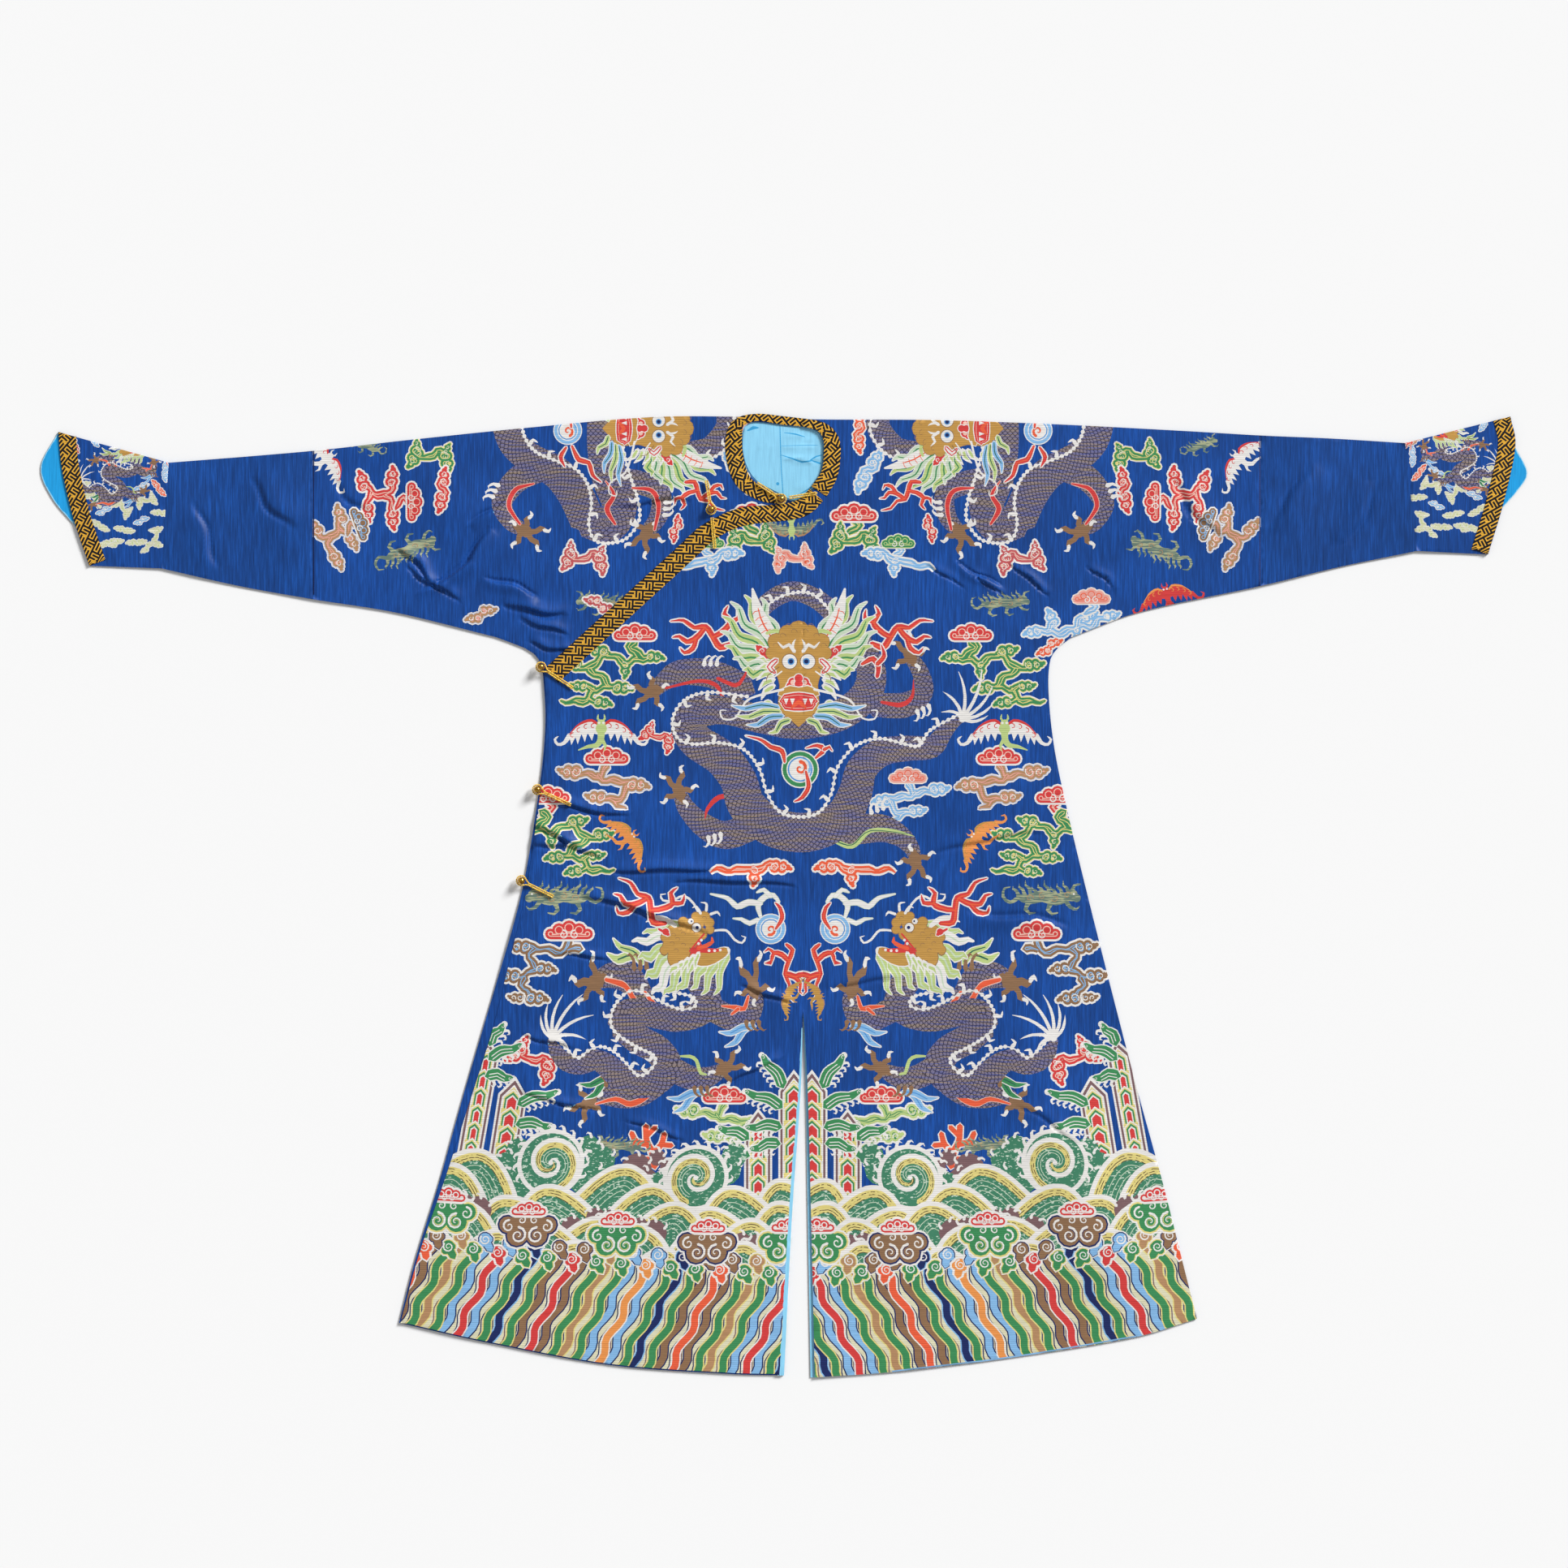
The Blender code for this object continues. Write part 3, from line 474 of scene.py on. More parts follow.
def frontal_head(pen):
    """Dragon's head seen from the front, about 200 wide, centred between its eyes."""
    for side in (False, True):
        p = pen.at(0, 0, 1, 0, side)
        # mane, from the temple out and down
        for i, (x, y, turn, length) in enumerate((
                (34, 34, 70, 60), (40, 28, 60, 76), (44, 20, 50, 84), (48, 10, 41, 82), (50, 2, 33, 74),
                (50, -6, 26, 62), (48, -12, 18, 48), (46, -18, 8, 34))):
            yarn = "lime" if i % 2 else "mist"
            strand(p.at(x, y, 1, turn), [(-6, 0, 10), (length * 0.25, 5, 12), (length * 0.55, -4, 11),
                                         (length * 0.82, 4, 7), (length, 1, 1.4)], yarn)
        # horn
        p.stroke([(30, 24, 14), (46, 46, 21), (58, 70, 17), (66, 104, 3)], "ivory")
        p.stroke([(36, 30, 2), (52, 56, 2.2), (58, 76, 1.2)], "rose")
        for k in range(4):
            p.stroke([(40 + 5 * k, 46 + 9 * k, 0.8), (48 + 5 * k, 44 + 9 * k, 1.2),
                (54 + 4 * k, 40 + 9 * k, 0.8)], "rose")
        p.stroke([(22, 40, 4), (34, 44, 6), (46, 40, 4)], "lime")
    for side in (False, True):
        p = pen.at(0, 0, 1, 0, side)
        # cheek frill
        for k in range(6):
            frill = p.at(36, 10 - 9 * k, 1, 18 - 22 * k * 0.6)
            frill.stroke([(0, 0, 8), (12, 4, 9), (26, 0, 2)], "ivory")
            frill.stroke([(2, 0, 4), (12, 3, 5), (20, 1, 1)], "lime")
        # ear
        p.union([(50, 14, 6), (56, 18, 5), [(44, 6, 6), (60, 22, 4)]], ((1.8, "ivory"), (0, "red")))
        p.spiral(52, 15, 4, 1.2, 1.4, "ivory")
    # brow and face
    face = [(0, 42, 16), (-16, 40, 12), (16, 40, 12), (-32, 28, 12), (32, 28, 12), (-38, 12, 9), (38, 12, 9),
            [(0, 30, 62), (0, 6, 72), (0, -14, 66), (0, -34, 54), (0, -58, 58), (0, -72, 48)]]
    pen.union(face, ((0.8, "brown"), (0, "gold")))
    for k in range(-4, 5):
        pen.area([(5.4 * k - 3.5, -66), (5.4 * k + 3.5, -66), (6.4 * k, -84 - 3 * (k % 2) + abs(k))],
            "gold", curved=False)
    for x, y in ((-8, 42), (8, 42), (-24, 36), (24, 36), (-16, 50), (16, 50), (0, 54), (-34, 22), (34, 22)):
        pen.spiral(x, y, 6, 0.7, 0.8, "brown", 0, 1)
    for side in (False, True):
        p = pen.at(0, 0, 1, 0, side)
        # flaming eyebrow, eye and red-edged cheek
        for rows in (((6, 14, 5), (14, 24, 5), (22, 20, 4), (30, 28, 1)), ((8, 14, 3), (8, 26, 3),
                (4, 32, 0.8))):
            p.stroke(rows, "ivory", 4.0)
        p.disc(13, 0, 11.5, "brown", 16)
        p.disc(13, 0, 10.4, "ivory", 16)
        p.disc(11, 0, 5.0, "sky", 12)
        p.disc(11, 0, 3.2, "navy", 10)
        p.union([[(32, 2, 6), (42, -8, 8), (34, -16, 4)]], ((2.0, "ivory"), (0, "red"), (-2, "ivory")))
        p.stroke([(24, -14, 2), (38, -26, 2.2), (32, -36, 1)], "ivory")
        p.stroke([(28, -8, 1.2), (44, -20, 1.4), (46, -30, 0.8)], "brown")
        # nostril lobe
        p.union([(8, -30, 7), (13, -35, 5)], ((1.6, "ivory"), (0, "red"), (-3, "blush")))
    pen.union([(0, -24, 6), (0, -32, 6)], ((1.4, "ivory"), (0, "red")))
    # upper lip, mouth and teeth
    pen.union([[(-26, -46, 8), (-12, -40, 10), (0, -42, 9), (12, -40, 10), (26, -46, 8)]],
              ((1.6, "ivory"), (0, "gold")))
    pen.union([[(-20, -56, 16), (0, -54, 18), (20, -56, 16)], [(-19, -62, 12), (0, -64, 12), (19, -62, 12)]],
              ((2.2, "ivory"), (0.6, "red"), (-2.4, "blush"), (-3.2, "red")))
    for x in (-18, -9, 9, 18):
        pen.area([(x - 3.5, -53), (x + 3.5, -53), (x, -62)], "ivory", curved=False)
    pen.stroke([(-10, -66, 3), (0, -58, 7), (10, -66, 3)], "rose")
    for side in (False, True):
        p = pen.at(0, 0, 1, 0, side)
        # whisker, beard and jowl curls
        p.stroke([(22, -40, 3.5), (48, -46, 3.5), (74, -56, 3), (90, -80, 2.6), (108, -82, 2.4),
                  (112, -70, 2.2), (103, -70, 1)], "ivory", 5.0)
        p.disc(44, -62, 8, "ivory", 12)
        p.disc(44, -62, 6, "lime", 12)
        p.spiral(44, -62, 4.5, 1.1, 1.2, "pine")
        for i, (x, y, turn, length) in enumerate(((30, -66, 2, 66), (28, -72, -6, 62), (24, -78, -15, 52),
                                                  (14, -84, -34, 34))):
            strand(p.at(x, y, 1, turn), [(0, 0, 7), (length * 0.35, 3, 8), (length * 0.7, -3, 6),
                (length, 1, 1)], "lime" if i % 2 else "azure", "ivory", "pine")


FRONTAL_BODY = (
    (-62, 380, 20), (-58, 410, 26), (-20, 434, 28), (18, 424, 28), (50, 396, 30), (84, 356, 36),
    (98, 318, 42), (88, 284, 44), (50, 256, 44), (-6, 244, 42), (-62, 252, 40), (-110, 264, 40),
    (-148, 262, 46), (-166, 244, 46), (-152, 220, 50), (-116, 196, 52), (-92, 164, 52), (-80, 128, 54),
    (-44, 98, 56), (6, 90, 56), (52, 108, 52), (74, 144, 48), (84, 180, 44), (112, 204, 40),
    (150, 210, 36), (184, 212, 32), (200, 230, 24), (214, 244, 16), (228, 252, 8),
)
FRONTAL_RIDGE_UPPER = ((-80, 284), (-136, 290), (-170, 278), (-186, 252), (-180, 226), (-158, 216),
    (-120, 218), (-84, 208), (-62, 180), (-52, 148), (-34, 120), (-6, 112), (22, 118), (40, 144),
    (50, 184), (76, 214), (110, 224), (146, 216), (166, 214), (182, 236), (222, 258))
FRONTAL_ARCH = ((-64, 396), (-44, 420), (-14, 432), (14, 430), (36, 410), (52, 392))


def frontal_dragon(pen):
    """Front-facing dragon, coiled over a flaming pearl; the head is 338 above the origin."""
    # hind and fore legs behind the body
    limb(pen, [(-70, 100, 40), (-110, 86, 40), (-142, 100, 34), (-166, 124, 26), (-176, 146, 20)], 110)
    barbs(pen, -126, 84, 195)
    limb(pen, [(60, 92, 44), (110, 96, 40), (140, 84, 30), (156, 66, 22), (160, 52, 18)], -80)
    barbs(pen, 106, 122, 20)
    limb(pen, [(-84, 296, 40), (-130, 316, 40), (-176, 318, 36), (-200, 304, 26), (-212, 292, 20)], 195)
    barbs(pen, -132, 331, 0)
    limb(pen, [(100, 272, 34), (146, 272, 36), (172, 290, 28), (168, 318, 24), (154, 340, 20)], 115)
    barbs(pen, 172, 266, 205)
    for rows in (((-196, 296, 3), (-150, 306, 5), (-124, 300, 6), (-112, 280, 4), (-90, 262, 2)),
                 ((-122, 310, 5), (-96, 300, 6), (-84, 312, 4), (-80, 322, 1)),
                 ((112, 276, 4), (140, 272, 7), (156, 284, 5), (158, 308, 1)),
                 ((-96, 142, 4), (-120, 140, 7), (-136, 124, 5), (-140, 108, 1))):
        pen.stroke(rows, "red")
    pen.stroke([(2, 92, 3), (40, 80, 6), (70, 70, 7), (96, 92, 6), (130, 92, 5), (160, 84, 1)], "lime")
    pen.stroke([(8, 90, 1), (44, 78, 1.4), (70, 72, 1.4), (96, 92, 1.2), (150, 88, 0.8)], "pine")
    pen.stroke(FRONTAL_BODY[:6], "hide", grain=True)
    pen.stroke(FRONTAL_BODY[5:], "hide", grain=True)
    beads(pen, FRONTAL_ARCH, 3)
    beads(pen, FRONTAL_RIDGE_UPPER, 5)
    tail_fan(pen.at(228, 252), 62)
    flame(pen.at(-60, 344, 1.15, 0, True).at(36, 14, 1, 4))
    flame(pen.at(52, 344, 1.15).at(40, 14, 1, 4))
    for rows in (((84, 330, 4), (100, 338, 8), (108, 326, 7), (106, 312, 5)),
                 ((106, 330, 6), (116, 342, 6), (112, 358, 1))):
        tongue(pen, rows)
    head = pen.at(-6, 334)
    frontal_head(head)
    pearl(pen.at(-4, 180), 27, "green")
    for rows in (((-26, 190, 3), (-30, 206, 7), (-46, 212, 6), (-60, 222, 4), (-82, 228, 1)),
                 ((18, 196, 3), (30, 208, 7), (20, 214, 5), (4, 210, 1)),
                 ((30, 208, 5), (38, 212, 4), (42, 206, 1))):
        tongue(pen, rows)


def bat(pen, body, rim, middle):
    """Bat with scalloped, drooping wings and hooked tips, head up."""
    for side in (False, True):
        p = pen.at(0, 0, 1, 0, side)
        p.area([(3, 8), (12, 15), (24, 13), (34, 8), (44, -2), (50, -12), (44, -11), (42, -19), (36, -8),
            (33, -18), (28, -4), (23, -15), (19, -3), (13, -13), (10, -3), (3, -5)], body, 3.0)
        p.stroke([(44, -5, 7), (52, -16, 5), (61, -18, 4), (65, -11, 3.4), (60, -7, 1.4)], body, 4.0)
        p.stroke([(5, 10, 3), (13, 15.5, 4), (25, 13, 3.6), (36, 6, 2), (46, -6, 1)], rim)
        for x, y in ((11, 10), (21, 9), (31, 4), (40, -3)):
            p.spiral(x, y - 3, 4.4, 0.8, 1.5, rim, 100, -1)
        p.stroke([(0, 12, 3.4), (5, 18, 3), (4, 24, 1)], middle, 4.0)
    pen.union([(0, 4, 8), (0, 11, 6), [(0, 6, 11), (1, -12, 9), (8, -20, 7), (18, -21, 5), (32, -26, 1.5)],
               [(0, -10, 7), (-6, -20, 4), (-4, -27, 1.5)]], ((0, middle),))
    for x in (-3, 3):
        pen.disc(x, 12, 1.9, "ivory", 7)
        pen.disc(x, 12, 0.9, "navy", 5)


def beast(pen, yarn="slate"):
    """Small dim emblem: a crouching creature ringed with flames, one yarn with pale flecks."""
    parts = [[(-40, 6, 8), (-26, 2, 14), (-6, 7, 17), (14, 2, 17), (30, 6, 13)], (36, 8, 9), (43, 4, 6),
        [(-38, 6, 6), (-52, -2, 5), (-62, 6, 4.5), (-60, 18, 3), (-52, 20, 1.5)], [(-24, 0, 7),
        (-30, -12, 6), (-24, -18, 4), (-16, -17, 2)], [(8, 0, 8), (2, -13, 6), (8, -19, 4), (16, -17, 2)],
        [(26, 2, 7), (34, -9, 5), (43, -12, 3), (47, -8, 1.5)], [(36, 13, 5), (40, 22, 4), (49, 24, 1.5)]]
    for k in range(9):
        x = -40 + 9 * k
        rise = 9 + 4 * (k % 3)
        parts.append([(x, 8, 6), (x - 3, 10 + rise * 0.5, 4.5), (x - 8, 12 + rise * 0.6, 3),
            (x - 8, 12 + rise, 1.2)])
    pen.union(parts, ((0, yarn),))
    for x, y, turn in ((-24, 4, 0), (-6, 7, 90), (12, 4, 200), (30, 8, 30)):
        pen.spiral(x, y, 5.5, 1.2, 1.1, "tan" if yarn == "slate" else "ivory", turn)
    pen.disc(39, 10, 1.6, "ivory", 6)


def spray(pen, fingers, body="green", vein="ivory"):
    """Foam thrown up from the rocks: lobed leaves edged with curled claws."""
    for x, y, turn, length, hand in fingers:
        p = pen.at(x, y, 1, turn)
        rows = [(0, 0, 15), (length * 0.35, 4 * hand, 15), (length * 0.7, 0, 11), (length, 2 * hand, 6)]
        p.stroke([(a, b, w + 3.4) for a, b, w in rows], "ivory")
        count = int(length / 9)
        for k in range(count):
            t = (k + 0.7) * 9
            base = -6.5 * hand * (1 - 0.4 * t / length)
            p.stroke([(t, base, 5), (t + 4, base - 5 * hand, 3.6), (t + 1, base - 9 * hand, 2.6),
                      (t - 2, base - 7 * hand, 1.2)], "ivory", 3.0)
        p.disc(length + 2, 1 * hand, 4.6, "ivory", 10)
        p.stroke(rows, body)
        for shift in (-3.2, 1.4):
            p.stroke([(a, b + shift * hand, 1.3) for a, b, w in rows[:-1]], vein)
        p.spiral(length - 2, 1 * hand, 3, 1.0, 1.2, "ivory")


HILL_LAYERS = ((0, "ivory"), (6.5, "butter"), (9.0, "dash"), (10.2, "butter"), (12.8, "dash"),
    (14.0, "butter"), (16.4, "dash"), (17.6, "fleck"), (24, "mist"), (25, "fleck"), (31, "mist"),
    (32, "fleck"), (38, "mist"), (39, "fleck"),)


def hill(pen, width=112.0, height=60.0):
    """One roller: nested bands under a crest that leans over to its left."""
    crest = [(-0.56, -1.3), (-0.47, -0.75), (-0.33, -0.28), (-0.14, -0.02), (0.08, -0.03), (0.30, -0.26),
             (0.50, -0.6), (0.74, -1.0), (1.0, -1.3)]
    crest = smooth([(x * width, y * height) for x, y in crest], 7.0)
    for inset, yarn in HILL_LAYERS:
        inner = moved(crest, -inset)
        turn = np.gradient(inner[:, 0]) > 0
        inner = inner[turn & (inner[:, 1] > -1.3 * height)]
        if len(inner) > 3:
            pen.area(np.vstack([inner, [(inner[-1, 0], -1.3 * height), (inner[0, 0], -1.3 * height)]]), yarn,
                     curved=False)


def foam(pen, rows, yarn="plum"):
    """Heap of spray behind the rollers: lumps of one yarn with white claws along the top."""
    pen.union([(x, y, r) for x, y, r in rows], ((0, yarn),))
    for x, y, r in rows:
        for a in (150, 95, 40):
            p = pen.at(x + (r - 1) * math.cos(math.radians(a)), y + (r - 1) * math.sin(math.radians(a)),
                1, a - 90)
            p.stroke([(-3, -2, 4.6), (-1, 3, 3.6), (3, 4.6, 2.2), (4.6, 2.4, 0.8)], "ivory", 3.0)
        pen.disc(x - 2, y - 2, 1.3, "ivory", 6)
        pen.disc(x + 5, y - 6, 1.1, "ivory", 6)


def whorl(pen, radius=48.0, hand=1):
    """Great curled wave: white and dashed yellow winding in over flecked green, with claws outside."""
    for k in range(13):
        a = math.radians(205 - 19 * k)
        p = pen.at(radius * math.cos(a), radius * math.sin(a), 1, math.degrees(a) - 90)
        p.stroke([(-4, -2, 6), (-1, 4, 4.4), (3, 6, 2.4), (6, 3, 0.8)], "ivory", 3.0)
    pen.disc(0, 0, radius, "ivory", 40)
    pen.disc(0, 0, radius - 6, "fleck", 36)
    pitch, start = 29.0, -70 if hand > 0 else 250
    for offset, width, yarn in ((10.5, 8.0, "butter"), (8.8, 1.2, "dash"), (11.8, 1.2, "dash"),
            (18, 1.0, "mist"), (22, 1.0, "mist"), (3.0, 6.6, "ivory")):
        rows = []
        for k in range(60):
            r = radius - offset - pitch * k / 22
            if r < 1:
                break
            a = math.radians(start) + hand * 2 * math.pi * k / 22
            rows.append((r * math.cos(a), r * math.sin(a), min(width, 0.3 * r + 1.2)))
        pen.stroke(rows, yarn, 40.0)
    pen.disc(0, 0, 3.6, "ivory", 10)


def prism(pen, half, height, inner_step=25.0):
    """Standing rock: a pointed column round a stack of nested arches; its point is at the origin."""
    for inset, yarn in ((0, "ivory"), (2.8, "plum"), (6.0, "ivory"), (7.6, "butter")):
        k = 1 - inset / half
        pen.area([(0, -inset * 2.0), (half * k, -half * 1.3 - inset * 0.6), (half * k, -height),
            (-half * k, -height), (-half * k, -half * 1.3 - inset * 0.6)], yarn, curved=False)
    inner = half - 7.6
    for k in range(int((height - 20) / inner_step) + 1):
        p = pen.at(0, -18 - inner_step * k)
        for drop, yarn in ((0, "ivory"), (1.6, "butter"), (3.2, "green"), (5.6, "ivory"), (7.4, "red")):
            w = inner - drop * 0.95
            if w > 1:
                p.area([(0, -drop * 1.5), (w, -drop * 1.5 - w * 0.9), (w, -inner_step - 4),
                    (-w, -inner_step - 4), (-w, -drop * 1.5 - w * 0.9)], yarn, curved=False)


def coral(pen):
    """Branch of red coral."""
    branches = (((0, -26, 8), (0, -8, 8), (4, 6, 7), (2, 24, 7)), ((0, -10, 7), (-12, -2, 7), (-18, 10, 6)),
                ((3, 2, 7), (16, 8, 7), (20, 20, 6)), ((14, 8, 6), (26, 4, 6)), ((-12, -2, 6), (-24, -6, 6)),
                ((3, 12, 6), (-9, 20, 6)), ((0, -16, 6), (16, -14, 6)))
    for grow, yarn in ((3.0, "ivory"), (0, "rose")):
        for row in branches:
            pen.stroke([(x, y, w + grow) for x, y, w in row], yarn)


def ruyi(pen, body, rim):
    """Large ruyi cloud among the waves, four curls under a small red cap."""
    parts = [(-29, 3, 12), (29, 3, 12), (-14, -12, 15), (14, -12, 15), (-12, 10, 12), (12, 10, 12),
        (0, 0, 18)]
    pen.union(parts, ((5.0, "ivory"), (2.4, rim), (0, body)))
    for side in (-1, 1):
        pen.spiral(27 * side, 1, 9, 1.3, 3.2, "ivory", 90, -side)
        pen.spiral(13 * side, -12, 12, 1.5, 3.6, "ivory", 90, side)
        pen.spiral(13 * side, -12, 9, 1.3, 1.2, rim, 90, side)
        pen.spiral(9 * side, 10, 6, 1.3, 2.2, "ivory", 90, side)
    cap(pen.at(0, 23, 0.8), ((4.2, "ivory"), (0, "red"), (-3.4, "ivory"), (-5.2, "red")))


STRIPES = {"red": ("ivory", "red"), "coral": ("ivory", "rose"), "blue": ("navy", "azure"),
    "green": ("butter", "green"), "tan": ("butter", "tan"), "brown": ("navy", "brown"),
    "navy": ("azure", "navy"), "orange": ("ivory", "orange"),}
STRIPE_ORDER = (
    "red", "blue", "green", "tan", "green", "brown", "coral", "brown", "green", "navy", "green", "blue",
    "orange", "blue", "green", "tan", "green", "brown", "red", "brown", "green", "navy", "green", "blue",
)
STRIPE_PITCH = 17.6
STRIPE_SLANT = 0.52


def stripe_path(x, top, bottom):
    """Centre line of one standing-water stripe, drifting outwards as it falls."""
    rows = []
    for y in spread(top, bottom, 8.0):
        fall = top - y
        rows.append((x + STRIPE_SLANT * fall + 4.6 * math.sin(fall / 8.2 + 0.01 * x), y))
    return rows


def water_top(x):
    """Height of the top of the standing water at distance x from the vent."""
    return -527 + 62 * max(0.0, min(1.0, (x - 20) / 470)) ** 1.15


def standing_water(pen):
    """Diagonal stripes from the waves to the hem, each ending in a curl."""
    base = [(-120, -505)] + [(x, water_top(x) + 4) for x in range(-90, 620, 30)] + [(640, -760), (-120, -760)]
    pen.area(base, "cream", curved=False)
    names = [(k, STRIPE_ORDER[k % len(STRIPE_ORDER)]) for k in range(-8, 32)]
    for k, name in names:
        x = 14 + STRIPE_PITCH * k
        top = water_top(x) + (4.0 if k % 2 else -5.0)
        path = stripe_path(x, top, -740)
        edge, body = STRIPES[name]
        pen.stroke([(a + STRIPE_PITCH / 2, b) for a, b in path], "plum" if k % 3 == 2 else "navy", 8.0,
            width=1.7)
        pen.stroke(path, edge, 8.0, width=14.0)
        pen.stroke(path, body, 8.0, width=10.2)
    for k, name in names:
        x = 14 + STRIPE_PITCH * k
        top = water_top(x) + (4.0 if k % 2 else -5.0)
        edge, body = STRIPES[name]
        p = pen.at(x - 1, top + 2 + 7 * (k % 2), 1, -20, k % 3 == 1)
        parts = [(0, 2, 9.0), (-6, -2, 5.6), (5, 0, 5.4), [(0, -2, 12), (2, -14, 10)]]
        p.union(parts, ((3.2, "ivory"), (1.5, edge), (0, body)))
        p.spiral(0, 1.5, 7.6, 1.7, 2.3, "ivory", 120, 1)


# Rollers of one half, far ones first: distance from the centre, height of the crest, width, leaning inwards
HILLS = (
    (474, -326, 124, False), (510, -346, 120, False), (28, -392, 96, True), (262, -358, 122, False),
    (98, -398, 110, True), (360, -380, 116, True), (222, -388, 116, False), (418, -392, 118, True),
    (30, -424, 104, True), (488, -402, 116, False), (130, -426, 110, True), (190, -416, 116, False),
    (80, -446, 104, False), (300, -430, 118, False), (374, -428, 110, True), (540, -430, 100, False),
    (20, -462, 92, True), (238, -448, 112, False), (150, -458, 108, True), (440, -440, 110, False),
    (330, -462, 110, False), (92, -478, 104, False), (205, -480, 104, False), (400, -474, 104, True),
    (272, -488, 100, False), (500, -462, 104, False), (40, -500, 96, True), (150, -498, 96, True),
    (330, -492, 92, True),
)


def sea(pen):
    """Rocks, rollers and foam above the standing water, for one half."""
    prism(pen.at(64, -290), 20, 220)
    prism(pen.at(13, -238), 22, 300)
    spray(pen, ((30, -258, 55, 50, 1), (34, -288, 24, 52, 1), (36, -318, 0, 44, 1), (38, -342, -12, 36, 1)))
    spray(pen, ((82, -330, 20, 40, 1), (82, -356, -6, 34, 1)))
    prism(pen.at(447, -170, 1, 10), 18, 260)
    prism(pen.at(410, -224, 1, 9), 21, 200)
    spray(pen, ((444, -196, 160, 44, -1), (446, -174, 130, 30, -1), (448, -222, 190, 32, -1),
        (402, -262, 168, 52, -1), (404, -292, 190, 46, -1)))
    coral(pen.at(217, -334, 1.2, -10))
    beast(pen.at(262, -336, 0.7, 8))
    foam(pen, ((186, -372, 20), (208, -352, 12), (238, -366, 22), (226, -388, 22)), "plum")
    foam(pen, ((290, -352, 22), (306, -330, 16), (406, -330, 18), (420, -350, 20), (312, -372, 26),
        (402, -372, 26)), "fleck")
    foam(pen, ((98, -356, 18), (110, -376, 22), (204, -392, 20)), "fleck")
    whorl(pen.at(153, -384), 47, 1)
    whorl(pen.at(360, -350), 48, -1)
    for i, (x, y, width, inwards) in enumerate(HILLS):
        if i % 4 == 1 and i > 6:
            foam(pen, ((x - 24, y - 12, 20), (x - 4, y - 2, 14), (x + 30, y - 14, 16)), "plum")
        hill(pen.at(x, y, 1, 0, inwards), width)
    standing_water(pen)
    for x, y, body, rim in ((22, -486, "green", "butter"), (137, -480, "brown", "navy"),
            (266, -462, "green", "butter"), (393, -440, "brown", "navy"), (508, -418, "green", "butter")):
        ruyi(pen.at(x, y, 1.0, 4), body, rim)


PROFILE_BODY = (
    (158, -96, 34), (140, -118, 38), (136, -138, 38), (152, -153, 36), (182, -159, 36), (210, -154, 36),
    (234, -148, 38), (254, -152, 40), (258, -168, 42), (236, -187, 42), (208, -203, 42), (194, -224, 42),
    (206, -244, 42), (234, -252, 40), (260, -242, 38), (278, -226, 34), (296, -217, 30), (318, -224, 28),
    (338, -220, 26), (352, -206, 20), (360, -188, 10),
)
PROFILE_RIDGE = (
    (200, -119), (176, -122), (156, -128), (154, -140), (172, -145), (194, -138), (214, -128), (238, -118),
    (256, -124), (272, -146), (273, -170), (256, -187), (232, -201), (214, -210), (211, -221), (222, -235),
    (236, -239), (252, -222), (270, -205), (289, -198), (307, -204), (320, -214), (334, -205), (350, -188),
)


